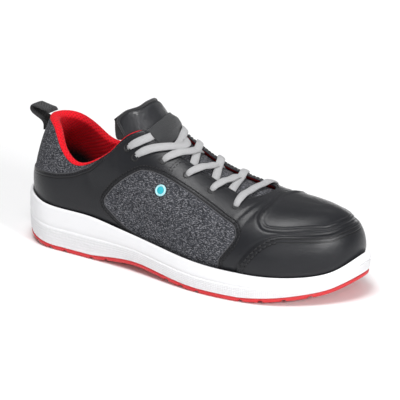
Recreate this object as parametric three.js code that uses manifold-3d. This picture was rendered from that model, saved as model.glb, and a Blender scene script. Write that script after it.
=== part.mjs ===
// A right safety sneaker, size 42, standing on its sole.
// Millimetres, +Z up, +X to the toe, +Y to the inner side of the foot.
// The origin is on the ground, in the middle of the sole's length and width.

import * as THREE from 'three';
import { mergeVertices } from 'three/addons/utils/BufferGeometryUtils.js';
import Module from 'manifold-3d';

const wasm = await Module();
wasm.setup();

// Driving sizes of the shoe
const soleLength = 300;        // heel to toe, over the sole
const ballWidth = 112;         // across the sole at the ball
const instepHeight = 128;      // ground to the top of the last's ridge, under the tongue's top
const heelHeight = 100;        // ground to the collar behind the heel
const rimHeight = 36;          // ground to the midsole's rim beside the heel
const toeSpring = 17;          // lift of the sole's tip

// Walls and thicknesses
const upperWall = 2.2;         // lining and fabric together
const overlayStep = 0.8;       // one layer of leather on the fabric
const collarPadding = 4.5;     // foam in the collar's roll, behind the ankle
const heelFoam = 17;           // midsole under the heel
const ballFoam = 9;            // midsole under the ball
const outsoleThickness = 3;    // rubber at its edge
const treadDepth = 1.6;
const grooveWidth = 3;
const grooveSlant = 5;         // the tread's grooves run back by this much from the middle
const insoleThickness = 4;
const tongueThickness = 4;
const tongueTopPadding = 3;    // more foam at the tongue's top
const laceWidth = 6.7;
const laceThickness = 1.9;
const strandFoot = 8.5;        // a crossing strand starts to climb this far inside the throat's edge
const strandClimb = 5;         // and is up after this much
const barFoot = 6;             // the same for a straight bar
const barClimb = 3;
const eyeletDiameter = 4.6;
const loopWidth = 14;
const loopReach = 12.3;        // how far the pull loop stands behind the heel
const loopThickness = 1.6;
const labelWidth = 13;
const labelLength = 28;
const labelThickness = 0.9;
const labelFoot = 1.6;         // width of the label's sewn edge
const badgeDiameter = 9;
const badgeThickness = 1;

// Clearances
const clearance = 0.35;        // between pieces that rest on each other
const curvedClearance = 0.9;   // between curved faceted sheets, which bulge between their corners
const widestAboveRim = 6;      // the upper is widest this far above the midsole's rim
const tuck = 6;                // how far the upper draws in under the rim, down to its feather edge

// Fineness of the faceted surfaces
const columns = 56;            // around the shoe
const lowerRows = 2;           // feather edge to the widest level
const upperRows = 8;           // widest level to the ridge or the topline

// Shape tables. "at" is a share of the sole's length from the heel.

// Sole seen from above: half width and centre line, shares of the ball width.
const soleTable = [
  { at: 0.00, half: 0.350, centre: 0.010 },
  { at: 0.12, half: 0.362, centre: 0.005 },
  { at: 0.28, half: 0.366, centre: -0.010 },
  { at: 0.42, half: 0.385, centre: -0.030 },
  { at: 0.54, half: 0.450, centre: -0.020 },
  { at: 0.66, half: 0.497, centre: 0.000 },
  { at: 0.78, half: 0.488, centre: 0.022 },
  { at: 0.90, half: 0.440, centre: 0.058 },
  { at: 1.00, half: 0.380, centre: 0.095 },
];

// Midsole's rim, shares of the rim height.
const rimTable = [
  { at: 0.00, rim: 1.19 },
  { at: 0.05, rim: 1.13 },
  { at: 0.10, rim: 1.05 },
  { at: 0.18, rim: 1.00 },
  { at: 0.26, rim: 0.99 },
  { at: 0.34, rim: 0.91 },
  { at: 0.42, rim: 0.83 },
  { at: 0.50, rim: 0.76 },
  { at: 0.58, rim: 0.69 },
  { at: 0.66, rim: 0.64 },
  { at: 0.74, rim: 0.62 },
  { at: 0.86, rim: 0.61 },
  { at: 0.92, rim: 0.64 },
  { at: 0.96, rim: 0.74 },
  { at: 1.00, rim: 1.03 },
];

// Underside of the sole, shares of the toe spring: rounded heel, arch and toe spring.
const groundTable = [
  { at: 0.00, lift: 0.38 },
  { at: 0.05, lift: 0.22 },
  { at: 0.10, lift: 0.07 },
  { at: 0.15, lift: -0.01 },
  { at: 0.26, lift: -0.01 },
  { at: 0.34, lift: 0.17 },
  { at: 0.42, lift: 0.30 },
  { at: 0.50, lift: 0.20 },
  { at: 0.58, lift: 0.05 },
  { at: 0.64, lift: -0.01 },
  { at: 0.74, lift: -0.01 },
  { at: 0.80, lift: 0.08 },
  { at: 0.86, lift: 0.20 },
  { at: 0.91, lift: 0.34 },
  { at: 0.95, lift: 0.51 },
  { at: 1.00, lift: 1.00 },
];

// Upper: half width and centre line in shares of the ball width, the ridge in shares of the
// instep height, and "full", how square its section is across the shoe.
const upperTable = [
  { at: 0.00, half: 0.325, centre: 0.010, ridge: 0.88, full: 2.20 },
  { at: 0.12, half: 0.338, centre: 0.005, ridge: 0.90, full: 2.20 },
  { at: 0.25, half: 0.335, centre: -0.008, ridge: 1.00, full: 2.20 },
  { at: 0.34, half: 0.340, centre: -0.018, ridge: 1.05, full: 2.15 },
  { at: 0.42, half: 0.362, centre: -0.020, ridge: 0.885, full: 2.10 },
  { at: 0.50, half: 0.402, centre: -0.014, ridge: 0.745, full: 2.05 },
  { at: 0.58, half: 0.443, centre: -0.006, ridge: 0.650, full: 2.05 },
  { at: 0.66, half: 0.464, centre: 0.004, ridge: 0.595, full: 2.05 },
  { at: 0.74, half: 0.462, centre: 0.016, ridge: 0.560, full: 2.10 },
  { at: 0.82, half: 0.448, centre: 0.034, ridge: 0.538, full: 2.20 },
  { at: 0.90, half: 0.420, centre: 0.056, ridge: 0.525, full: 2.30 },
  { at: 1.00, half: 0.380, centre: 0.085, ridge: 0.500, full: 2.30 },
];

// Collar's topline, shares of the heel height.
const toplineTable = [
  { at: 0.00, top: 1.000 },
  { at: 0.07, top: 1.000 },
  { at: 0.10, top: 0.970 },
  { at: 0.12, top: 0.920 },
  { at: 0.14, top: 0.855 },
  { at: 0.16, top: 0.795 },
  { at: 0.18, top: 0.758 },
  { at: 0.205, top: 0.743 },
  { at: 0.24, top: 0.760 },
  { at: 0.28, top: 0.822 },
  { at: 0.32, top: 0.910 },
  { at: 0.36, top: 1.035 },
  { at: 0.39, top: 1.085 },
  { at: 0.44, top: 1.120 },
];
const collarSkew = 0.010;      // the collar drops sooner on the inner side, by this share

// Lacing throat: half width from its centre line, shares of the ball width.
const throatTable = [
  { at: 0.34, half: 0.210 },
  { at: 0.42, half: 0.165 },
  { at: 0.50, half: 0.132 },
  { at: 0.57, half: 0.122 },
  { at: 0.62, half: 0.136 },
  { at: 0.66, half: 0.155 },
  { at: 0.73, half: 0.165 },
];

// Eyelets of one side, from the toe up: the last two sit low on the quarter.
const eyeletTable = [
  { at: 0.694, out: 0.268 },
  { at: 0.614, out: 0.229 },
  { at: 0.539, out: 0.216 },
  { at: 0.469, out: 0.224 },
  { at: 0.396, out: 0.278 },
  { at: 0.370, out: 0.270 },
];

// Ends of the forms, shares of the length
const heelBack = 0.011;        // upper behind the heel
const toeTip = 0.982;          // upper at the toe
const throatFront = 0.738;
const throatTop = 0.40;        // the collar's topline meets the throat's edge here
const fanStart = 0.74;         // the toe box's ribs fan out from here
const fanReach = 0.115;        // and the foremost rib climbs back this far to the ridge
const leanStart = 0.50;        // height, share of heelHeight, where the heel starts to lean in
const heelLean = 12;           // how far the heel leans forward at the collar

// Rounded ends of an outline: share of the length that rounds, and its exponent
const soleEnds = { heel: 0.13, heelPower: 2.1, toe: 0.225, toePower: 2.0 };
const upperEnds = { heel: 0.14, heelPower: 2.1, toe: 0.225, toePower: 2.1 };

const { cos, sin, abs, min, max, sign, sqrt, PI } = Math;

function clamp(value, low = 0, high = 1) {
  return min(high, max(low, value));
}

function smooth(value) {
  const t = clamp(value);
  return t * t * (3 - 2 * t);
}

// Natural cubic spline through one named column of a table.
function curve(table, column) {
  const x = table.map((row) => row.at);
  const y = table.map((row) => row[column]);
  const n = x.length;
  const bend = new Array(n).fill(0);
  const work = new Array(n).fill(0);
  for (let i = 1; i < n - 1; i++) {
    const part = (x[i] - x[i - 1]) / (x[i + 1] - x[i - 1]);
    const pivot = part * bend[i - 1] + 2;
    const turn = (y[i + 1] - y[i]) / (x[i + 1] - x[i]) - (y[i] - y[i - 1]) / (x[i] - x[i - 1]);
    bend[i] = (part - 1) / pivot;
    work[i] = (6 * turn / (x[i + 1] - x[i - 1]) - part * work[i - 1]) / pivot;
  }
  for (let i = n - 2; i >= 0; i--) {
    bend[i] = bend[i] * bend[i + 1] + work[i];
  }
  return (at) => {
    const s = clamp(at, x[0], x[n - 1]);
    let k = 1;
    while (k < n - 1 && s > x[k]) {
      k += 1;
    }
    const h = x[k] - x[k - 1];
    const a = (x[k] - s) / h;
    const b = (s - x[k - 1]) / h;
    const cubic = ((a ** 3 - a) * bend[k - 1] + (b ** 3 - b) * bend[k]) * h * h / 6;
    return a * y[k - 1] + b * y[k] + cubic;
  };
}

const lengthAt = (at) => (at - 0.5) * soleLength;
const shareAt = (x) => x / soleLength + 0.5;

const soleHalf = curve(soleTable, 'half');
const soleCentre = curve(soleTable, 'centre');
const rimShare = curve(rimTable, 'rim');
const liftShare = curve(groundTable, 'lift');
const upperHalf = curve(upperTable, 'half');
const upperCentre = curve(upperTable, 'centre');
const ridgeShare = curve(upperTable, 'ridge');
const fullness = curve(upperTable, 'full');
const toplineShare = curve(toplineTable, 'top');
const throatShare = curve(throatTable, 'half');

const rimAt = (at) => rimShare(at) * rimHeight;
const groundAt = (at) => max(0, liftShare(at)) * toeSpring;
const ridgeAt = (at) => ridgeShare(at) * instepHeight;
const centreAt = (at) => upperCentre(at) * ballWidth;

// Top of the midsole's floor, where the upper's feather edge and the insole stand.
function floorAt(at) {
  const foam = heelFoam + (ballFoam - heelFoam) * smooth((at - 0.22) / 0.42);
  return groundAt(at) * 0.8 + outsoleThickness + clearance + foam;
}

// Share of the full width that is left in a rounded end.
function roundedEnds(u, ends) {
  const heel = (1 - clamp((ends.heel - u) / ends.heel) ** ends.heelPower) ** (1 / ends.heelPower);
  const toe = (1 - clamp((u - 1 + ends.toe) / ends.toe) ** ends.toePower) ** (1 / ends.toePower);
  return heel * toe;
}

// Outlines seen from above, as closed rings. An angle of 0 is the heel, PI the toe, and
// angles up to PI run along the inner side.
function solePlan(angle) {
  const at = (1 - cos(angle)) / 2;
  const half = soleHalf(at) * ballWidth * roundedEnds(at, soleEnds);
  const y = soleCentre(at) * ballWidth + sign(sin(angle)) * half;
  return [lengthAt(at), y];
}

function upperPlan(angle) {
  const u = (1 - cos(angle)) / 2;
  const at = heelBack + (toeTip - heelBack) * u;
  const half = upperHalf(at) * ballWidth * roundedEnds(u, upperEnds);
  return [lengthAt(at), centreAt(at) + sign(sin(angle)) * half];
}

// A plan point drawn in by a distance, square to the outline.
function drawnIn(plan, angle, distance) {
  const step = 0.02;
  const before = plan(angle - step);
  const after = plan(angle + step);
  const dx = after[0] - before[0];
  const dy = after[1] - before[1];
  const size = sqrt(dx * dx + dy * dy);
  const [x, y] = plan(angle);
  return [x + distance * dy / size, y - distance * dx / size];
}

// The upper's outer surface over the last. "rise" is -1 at the feather edge, 0 at the widest
// level and 1 on the ridge. Above the widest level each rib is a superellipse from the outline
// to the ridge, and ahead of fanStart the ribs fan back, so that they close over the toe.
const sectionPower = 2.0;

function lastPoint(angle, rise) {
  const u = (1 - cos(angle)) / 2;
  const at = heelBack + (toeTip - heelBack) * u;
  const widest = rimAt(at) + widestAboveRim;
  if (rise < 0) {
    const low = floorAt(at) + curvedClearance;
    const [x, y] = drawnIn(upperPlan, angle, tuck * rise * rise);
    return [x, y, widest + (widest - low) * rise];
  }
  const [x, y] = upperPlan(angle);
  const top = at - fanReach * clamp((at - fanStart) / (toeTip - fanStart)) ** 1.5;
  const across = cos(rise * PI / 2) ** (2 / fullness(at));
  const z = widest + (ridgeAt(top) - widest) * sin(rise * PI / 2) ** (2 / sectionPower);
  const height = clamp(z / heelHeight - leanStart, 0, 1) / (1 - leanStart);
  const lean = heelLean * height ** 1.6 * clamp(1 - u / 0.35) ** 1.2;
  const xTop = lengthAt(top);
  const yTop = centreAt(top);
  return [xTop + (x - xTop) * across + lean, yTop + (y - yTop) * across, z];
}

function lastNormal(angle, rise) {
  const normal = slopeNormal(angle, rise);
  if (rise >= 1 || abs(sin(angle)) < 1e-6) {
    const partner = slopeNormal(2 * PI - angle, rise);
    normal.add(partner).setY(0).normalize();
  }
  return normal;
}

function slopeNormal(angle, rise) {
  const step = 0.004;
  const turn = 0.02;
  const high = lastPoint(angle, min(1, rise + step));
  const low = lastPoint(angle, max(-1, min(1, rise + step) - 2 * step));
  const next = lastPoint(angle + turn, rise);
  const last = lastPoint(angle - turn, rise);
  const up = new THREE.Vector3(high[0] - low[0], high[1] - low[1], high[2] - low[2]);
  const along = new THREE.Vector3(next[0] - last[0], next[1] - last[1], next[2] - last[2]);
  return up.cross(along).normalize();
}

function offsetPoint(angle, rise, offset) {
  const [x, y, z] = lastPoint(angle, rise);
  const n = lastNormal(angle, rise);
  return [x + n.x * offset, y + n.y * offset, z + n.z * offset];
}

function throatHalf(at) {
  const front = clamp((at - throatFront + 0.045) / 0.045);
  return throatShare(at) * ballWidth * sqrt(1 - front * front);
}

function isOpen([x, y, z]) {
  const at = shareAt(x);
  const out = y - centreAt(at);
  const topline = toplineShare(at + sign(out) * collarSkew * smooth((0.24 - at) / 0.06));
  const overCollar = at < throatTop + 0.04 && z > topline * heelHeight;
  const inThroat = at > throatTop - 0.05 && abs(out) < throatHalf(at);
  return overCollar || inThroat;
}

// Rise at which a rib reaches the collar or the throat, or 1 where it closes on the ridge.
function edgeRise(angle) {
  const steps = 90;
  for (let i = 1; i <= steps; i++) {
    if (isOpen(lastPoint(angle, i / steps))) {
      let low = (i - 1) / steps;
      let high = i / steps;
      for (let k = 0; k < 20; k++) {
        const middle = (low + high) / 2;
        if (isOpen(lastPoint(angle, middle))) {
          high = middle;
        } else {
          low = middle;
        }
      }
      return high;
    }
  }
  return 1;
}

// Geometry helpers

function closedGeometry(points, faces) {
  const geometry = new THREE.BufferGeometry();
  geometry.setAttribute('position', new THREE.Float32BufferAttribute(points.flat(), 3));
  geometry.setIndex(faces.flat());
  return geometry;
}

function toManifold(source) {
  const geometry = source.clone();
  geometry.deleteAttribute('normal');
  geometry.deleteAttribute('uv');
  const merged = mergeVertices(geometry, 1e-3);
  const index = merged.getIndex().array;
  const kept = [];
  for (let i = 0; i < index.length; i += 3) {
    const [a, b, c] = [index[i], index[i + 1], index[i + 2]];
    if (a !== b && b !== c && c !== a) {
      kept.push(a, b, c);
    }
  }
  return new wasm.Manifold(new wasm.Mesh({
    numProp: 3,
    vertProperties: Float32Array.from(merged.getAttribute('position').array),
    triVerts: Uint32Array.from(kept),
  }));
}

// Drops the splinters that rounding leaves where two surfaces nearly touch.
function largestPiece(solid) {
  return solid.decompose().reduce((best, part) => (part.volume() > best.volume() ? part : best));
}

function toGeometry(solid) {
  const mesh = solid.getMesh();
  const geometry = new THREE.BufferGeometry();
  geometry.setAttribute('position', new THREE.BufferAttribute(mesh.vertProperties, 3));
  geometry.setIndex(new THREE.BufferAttribute(mesh.triVerts, 1));
  return geometry;
}

// A solid between stacked closed rings, with a ladder of faces across its first and last ring.
function ringSolid(rings) {
  const n = rings[0].length;
  const faces = [];
  for (let r = 0; r < rings.length - 1; r++) {
    for (let i = 0; i < n; i++) {
      const j = (i + 1) % n;
      const [a, b, c, d] = [r * n + i, r * n + j, (r + 1) * n + j, (r + 1) * n + i];
      faces.push([a, c, b], [a, d, c]);
    }
  }
  const ladder = (base, turned) => {
    for (let i = 0; i < n / 2; i++) {
      const [a, b, c, d] = [base + i, base + i + 1, base + (n - i - 1) % n, base + (n - i) % n];
      faces.push(...(turned ? [[a, c, b], [a, d, c]] : [[a, b, c], [a, c, d]]));
    }
  };
  ladder(0, false);
  ladder((rings.length - 1) * n, true);
  return toManifold(closedGeometry(rings.flat(), faces));
}

const ringAngles = Array.from({ length: columns }, (_, i) => 2 * PI * i / columns);

function soleRing(inset, height) {
  return ringAngles.map((angle) => {
    const [x, y] = drawnIn(solePlan, angle, inset);
    return [x, y, height(shareAt(x))];
  });
}

// A prism along one axis from an outline, by ExtrudeGeometry.
function prism(outline, axis, low, high) {
  const shape = new THREE.Shape(outline.map(([a, b]) => new THREE.Vector2(a, b)));
  const geometry = new THREE.ExtrudeGeometry(shape, { depth: high - low, bevelEnabled: false });
  geometry.translate(0, 0, low);
  if (axis === 'y') {
    geometry.rotateX(PI / 2);
    geometry.translate(0, low + high, 0);
  }
  return toManifold(geometry);
}

// A smooth closed outline through a few places.
function roundedOutline(places, steps) {
  const through = places.map(([a, b]) => new THREE.Vector3(a, b, 0));
  const spline = new THREE.CatmullRomCurve3(through, true, 'centripetal');
  return spline.getPoints(steps).slice(0, -1).map((p) => [p.x, p.y]);
}

// A flat band along a path. Each station has its place, and the way its flat side faces.
function band(stations, width, thickness, bevel = 0.3) {
  const section = [
    [-0.5, 0], [-0.5 + bevel * thickness / width, -0.5], [0.5 - bevel * thickness / width, -0.5],
    [0.5, 0], [0.5 - bevel * thickness / width, 0.5], [-0.5 + bevel * thickness / width, 0.5],
  ];
  const rings = stations.map(({ place, facing }, i) => {
    const before = stations[max(0, i - 1)].place;
    const after = stations[min(stations.length - 1, i + 1)].place;
    const along = after.clone().sub(before).normalize();
    const side = along.clone().cross(facing).normalize();
    const up = side.clone().cross(along).normalize();
    return section.map(([a, b]) => place.clone()
      .addScaledVector(side, a * width)
      .addScaledVector(up, b * thickness)
      .toArray());
  });
  const n = section.length;
  const faces = [];
  for (let r = 0; r < rings.length - 1; r++) {
    for (let i = 0; i < n; i++) {
      const j = (i + 1) % n;
      const [a, b, c, d] = [r * n + i, r * n + j, (r + 1) * n + j, (r + 1) * n + i];
      faces.push([a, c, b], [a, d, c]);
    }
  }
  const end = (rings.length - 1) * n;
  for (let i = 1; i < n - 1; i++) {
    faces.push([0, i, i + 1], [end, end + i + 1, end + i]);
  }
  return toManifold(closedGeometry(rings.flat(), faces));
}

// Sole

function outsole() {
  const rubber = ringSolid([
    soleRing(2.6, groundAt),
    soleRing(1.4, (at) => groundAt(at) + treadDepth * 0.6),
    soleRing(0.9, (at) => groundAt(at) + outsoleThickness),
  ]);
  return treadGrooves().reduce((body, groove) => body.subtract(groove), rubber);
}

// Grooves across the sole leave the main lugs between them, and the arch has a long recess.
function treadGrooves() {
  const places = [0.075, 0.125, 0.175, 0.265, 0.315, 0.53, 0.58, 0.63, 0.755, 0.805, 0.855, 0.905];
  const across = places.map((at) => {
    const x = lengthAt(at);
    const top = groundAt(at) + treadDepth;
    const low = x - grooveWidth / 2;
    const high = x + grooveWidth / 2;
    return prism([
      [low - grooveSlant, -ballWidth], [high - grooveSlant, -ballWidth], [high + grooveSlant, 0],
      [high - grooveSlant, ballWidth], [low - grooveSlant, ballWidth], [low + grooveSlant, 0],
    ], 'z', -treadDepth, top);
  });
  const archHalf = 0.16 * ballWidth;
  const archTop = groundAt(0.37) + treadDepth;
  const arch = roundedOutline([
    [lengthAt(0.37), -archHalf], [lengthAt(0.47), -archHalf * 1.2],
    [lengthAt(0.47), archHalf * 0.8], [lengthAt(0.37), archHalf],
  ], 24);
  return [...across, prism(arch, 'z', -1, archTop)];
}

function midsole() {
  const base = (at) => groundAt(at) + outsoleThickness + clearance;
  const between = (share, out) => soleRing(out, (at) => base(at) + (rimAt(at) - base(at)) * share);
  return ringSolid([
    soleRing(1.2, base),
    between(0.10, 0.4),
    between(0.42, 0.0),
    between(0.48, 0.5),
    between(0.54, 0.2),
    between(0.86, 0.5),
    between(1.00, 0.9),
    cupRing(rimAt, 0),
    cupRing((at) => floorAt(at) + (rimAt(at) - floorAt(at)) * 0.55, 0.45),
    cupRing(floorAt, 1),
  ]);
}

// The midsole's cup keeps its distance from the upper, toe guard included, which draws in
// towards the feather edge.
function cupRing(height, depth) {
  return ringAngles.map((angle) => {
    const inset = tuck * depth * depth - overlayStep - clearance - 0.1 * depth;
    const [x, y] = drawnIn(upperPlan, angle, inset);
    return [x, y, height(shareAt(x))];
  });
}

function insole() {
  const inset = tuck + upperWall + curvedClearance;
  const bottom = (at) => floorAt(at) + clearance;
  const ring = (share, extra) => ringAngles.map((angle) => {
    const [x, y] = drawnIn(upperPlan, angle, inset + extra);
    return [x, y, bottom(shareAt(x)) + insoleThickness * share];
  });
  return ringSolid([ring(0, 0.4), ring(0.5, -0.6), ring(0.9, -1.0), ring(1, -0.4)]);
}

// Upper

const edges = ringAngles.map(edgeRise);

// One shell between two offsets of the last's surface. Ribs that reach the collar or the throat
// end in a rim, and the others meet their partner on the ridge.
function upperShell(outerOffset, innerOffset, padding) {
  const rows = lowerRows + upperRows;
  const riseOf = (i, row) => (row < lowerRows
    ? -1 + row / lowerRows
    : edges[i] * (row - lowerRows) / upperRows);
  const padAt = (i, row) => {
    const at = shareAt(lastPoint(ringAngles[i], edges[i])[0]);
    const near = smooth((row - rows + 4) / 4);
    return padding * near * smooth((0.34 - at) / 0.12);
  };
  const grid = (offset, padded) => ringAngles.map((angle, i) => {
    const rib = [];
    for (let row = 0; row <= rows; row++) {
      rib.push(offsetPoint(angle, riseOf(i, row), offset - (padded ? padAt(i, row) : 0)));
    }
    return rib;
  });
  const outer = grid(outerOffset, false);
  const inner = grid(innerOffset, true);
  const points = [...outer.flat(), ...inner.flat()];
  const closed = (i) => edges[i] === 1;
  const id = (layer, i, row) => {
    const turn = i % columns;
    const shared = row === rows && closed(turn) && turn > columns / 2;
    return (layer * columns + (shared ? columns - turn : turn)) * (rows + 1) + row;
  };
  const faces = [];
  const quad = (a, b, c, d) => faces.push([a, b, c], [a, c, d]);
  for (let i = 0; i < columns; i++) {
    for (let row = 0; row < rows; row++) {
      quad(id(0, i, row), id(0, i, row + 1), id(0, i + 1, row + 1), id(0, i + 1, row));
      quad(id(1, i, row), id(1, i + 1, row), id(1, i + 1, row + 1), id(1, i, row + 1));
    }
    quad(id(0, i, 0), id(0, i + 1, 0), id(1, i + 1, 0), id(1, i, 0));
    const j = (i + 1) % columns;
    if (!closed(i) || !closed(j)) {
      quad(id(0, i, rows), id(1, i, rows), id(1, j, rows), id(0, j, rows));
    }
  }
  return toManifold(closedGeometry(points, faces));
}

// Side view of the fabric window in the quarter, heel end first, then along its top.
const panelOutline = [
  { at: 0.311, z: 0.506 }, { at: 0.335, z: 0.614 }, { at: 0.355, z: 0.671 }, { at: 0.387, z: 0.748 },
  { at: 0.425, z: 0.812 }, { at: 0.455, z: 0.808 }, { at: 0.492, z: 0.783 }, { at: 0.577, z: 0.696 },
  { at: 0.674, z: 0.590 }, { at: 0.715, z: 0.540 }, { at: 0.722, z: 0.457 }, { at: 0.690, z: 0.310 },
  { at: 0.665, z: 0.200 }, { at: 0.500, z: 0.240 }, { at: 0.396, z: 0.330 }, { at: 0.334, z: 0.435 },
];

// Side view of the line where the fabric of the collar starts, heel first.
const counterLine = [
  { at: 0.00, z: 0.600 }, { at: 0.04, z: 0.605 }, { at: 0.08, z: 0.625 }, { at: 0.12, z: 0.634 },
  { at: 0.155, z: 0.645 }, { at: 0.20, z: 0.677 }, { at: 0.23, z: 0.718 }, { at: 0.255, z: 0.755 },
  { at: 0.290, z: 0.850 },
];

// Side view of the toe guard's seam, from the sole up and forward.
const guardLine = [
  { at: 0.738, z: 0.150 }, { at: 0.744, z: 0.268 }, { at: 0.757, z: 0.335 }, { at: 0.785, z: 0.442 },
  { at: 0.815, z: 0.503 }, { at: 0.850, z: 0.522 }, { at: 0.890, z: 0.524 }, { at: 0.930, z: 0.522 },
  { at: 0.956, z: 0.548 }, { at: 0.990, z: 0.590 },
];

// Plan of the raised seam on the toe box, one side: share of length, share of ball width.
const vampSeam = [
  { at: 0.774, out: 0.00 }, { at: 0.779, out: 0.15 }, { at: 0.776, out: 0.275 },
  { at: 0.785, out: 0.318 }, { at: 0.803, out: 0.328 }, { at: 0.848, out: 0.290 },
  { at: 0.900, out: 0.205 }, { at: 0.930, out: 0.130 }, { at: 0.945, out: 0.00 },
];
const vampSeamWidth = 3.2;

const sideOutline = (table) => table.map(({ at, z }) => [lengthAt(at), z * heelHeight]);

function vampLoop(growth) {
  const half = vampSeam.map(({ at, out }) => {
    const squeeze = 1 + growth / (out * ballWidth + 12);
    return { x: lengthAt(at), y: out * ballWidth * squeeze, c: centreAt(at) };
  });
  const reach = half.map(({ x, y, c }, i) => {
    const end = i === 0 ? -growth : i === half.length - 1 ? growth : 0;
    return { x: x + end, y, c };
  });
  const left = reach.map(({ x, y, c }) => [x, c + y]);
  const right = reach.slice(1, -1).reverse().map(({ x, y, c }) => [x, c - y]);
  return roundedOutline([...left, ...right], 36);
}

function eyeletPlace(index, side, offset) {
  const { at, out } = eyeletTable[index];
  return onLast(at, side * out * ballWidth, offset);
}

// The point of the last's surface over a place in plan, between the sole and the ridge,
// moved out along the surface normal. It serves the stretch behind the toe's fan.
function onLast(at, out, offset) {
  const u = (at - heelBack) / (toeTip - heelBack);
  const half = upperHalf(at) * ballWidth * roundedEnds(u, upperEnds);
  const share = min(1, abs(out) / half) ** (fullness(at) / 2);
  const rise = Math.acos(share) * 2 / PI;
  const turn = Math.acos(1 - 2 * u);
  const angle = out >= 0 ? turn : 2 * PI - turn;
  const [x, y, z] = lastPoint(angle, rise);
  const normal = lastNormal(angle, rise);
  const place = new THREE.Vector3(x, y, z).addScaledVector(normal, offset);
  return { place, facing: normal };
}

function eyeletHole(index, side) {
  const { place, facing } = eyeletPlace(index, side, 0);
  const through = 4 * (upperWall + overlayStep);
  const cylinder = new THREE.CylinderGeometry(eyeletDiameter / 2, eyeletDiameter / 2, through, 10);
  cylinder.applyQuaternion(new THREE.Quaternion().setFromUnitVectors(new THREE.Vector3(0, 1, 0), facing));
  cylinder.translate(place.x, place.y, place.z);
  return toManifold(cylinder);
}

function upper() {
  const far = ballWidth;
  const fabric = upperShell(-overlayStep, -upperWall, collarPadding);
  const leather = upperShell(0, -overlayStep - 0.5, 0);
  const guard = upperShell(overlayStep, -overlayStep * 0.5, 0);
  const panel = prism(roundedOutline(sideOutline(panelOutline), 28), 'y', -far, far);
  const counter = sideOutline(counterLine);
  const behind = lengthAt(-0.1);
  const above = heelHeight * 1.4;
  const collar = prism([
    [behind, counter[0][1]], ...counter, [counter.at(-1)[0], above], [behind, above],
  ], 'y', -far, far);
  const seam = sideOutline(guardLine);
  const toe = prism([...seam, [lengthAt(1.1), seam.at(-1)[1]], [lengthAt(1.1), -5], [seam[0][0], -5]],
    'y', -far, far);
  const ring = prism(vampLoop(vampSeamWidth), 'z', 0, heelHeight)
    .subtract(prism(vampLoop(0), 'z', -1, heelHeight + 1));
  let body = fabric
    .add(leather.subtract(panel).subtract(collar))
    .add(guard.intersect(toe))
    .add(guard.intersect(ring));
  for (let index = 0; index < eyeletTable.length; index++) {
    for (const side of [-1, 1]) {
      body = body.subtract(eyeletHole(index, side));
    }
  }
  return largestPiece(body);
}

// Tongue: a padded sheet under the lacing throat, along the last's ridge from under the vamp
// to its free top, which stands clear of the collar.
const tongueFront = 0.757;
const tongueTop = 0.368;
const tongueWing = 0.050;      // its corners hang this far behind the middle of its top
const tongueRows = 18;
const tongueAcross = 10;
const tongueTable = [
  { at: 0.31, half: 0.270 },
  { at: 0.37, half: 0.262 },
  { at: 0.42, half: 0.265 },
  { at: 0.50, half: 0.260 },
  { at: 0.62, half: 0.235 },
  { at: 0.77, half: 0.215 },
];
const tongueShare = curve(tongueTable, 'half');
const tongueLift = -(upperWall + curvedClearance + 2 * clearance);

function tongueGrid(offsetOf) {
  return Array.from({ length: tongueRows + 1 }, (_, row) => {
    const ends = clamp(row / 2, 0.9, 1) * clamp((tongueRows - row) / 2, 0.8, 1);
    return Array.from({ length: tongueAcross + 1 }, (__, k) => {
      const across = k / tongueAcross * 2 - 1;
      const top = tongueTop - tongueWing * across * across;
      const at = top + (tongueFront - top) * row / tongueRows;
      const out = across * tongueShare(at) * ballWidth * ends;
      return onLast(at, out, offsetOf(at, across)).place.toArray();
    });
  });
}

function tongue() {
  const padding = (at) => tongueTopPadding * smooth((0.47 - at) / 0.05);
  const top = tongueGrid(() => tongueLift);
  const bottom = tongueGrid((at, across) => {
    const edge = 1 - 0.45 * across ** 4;
    return tongueLift - (tongueThickness + padding(at)) * edge;
  });
  return sheetSolid(top, bottom);
}

// A closed solid between two grids of the same size.
function sheetSolid(top, bottom) {
  const rows = top.length;
  const across = top[0].length;
  const id = (layer, r, k) => (layer * rows + r) * across + k;
  const faces = [];
  const quad = (a, b, c, d) => faces.push([a, b, c], [a, c, d]);
  for (let r = 0; r < rows - 1; r++) {
    for (let k = 0; k < across - 1; k++) {
      quad(id(0, r, k), id(0, r + 1, k), id(0, r + 1, k + 1), id(0, r, k + 1));
      quad(id(1, r, k), id(1, r, k + 1), id(1, r + 1, k + 1), id(1, r + 1, k));
    }
    quad(id(0, r, 0), id(1, r, 0), id(1, r + 1, 0), id(0, r + 1, 0));
    const e = across - 1;
    quad(id(0, r, e), id(0, r + 1, e), id(1, r + 1, e), id(1, r, e));
  }
  const last = rows - 1;
  for (let k = 0; k < across - 1; k++) {
    quad(id(0, 0, k), id(0, 0, k + 1), id(1, 0, k + 1), id(1, 0, k));
    quad(id(0, last, k), id(1, last, k), id(1, last, k + 1), id(0, last, k + 1));
  }
  return toManifold(closedGeometry([...top.flat(), ...bottom.flat()], faces));
}

// Laces. A strand comes out of one eyelet, runs over the throat's edge and across the tongue,
// and goes in under the other edge. Two strands cross between each pair of eyelets.
const laceSeat = curvedClearance * 0.7 + laceThickness / 2;
const underLift = tongueLift + clearance + laceThickness / 2;
const overLift = underLift + laceThickness * 0.8;

// Each strand runs down from its eyelet, over the throat's edge, and ends under the far edge,
// beside the next eyelet towards the toe.
const strandTable = [
  { from: 1, endAt: 0.650, bow: 0 },
  { from: 2, endAt: 0.598, bow: 0 },
  { from: 3, endAt: 0.526, bow: 0 },
  { from: 4, endAt: 0.472, bow: 0.040 },
];

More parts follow.
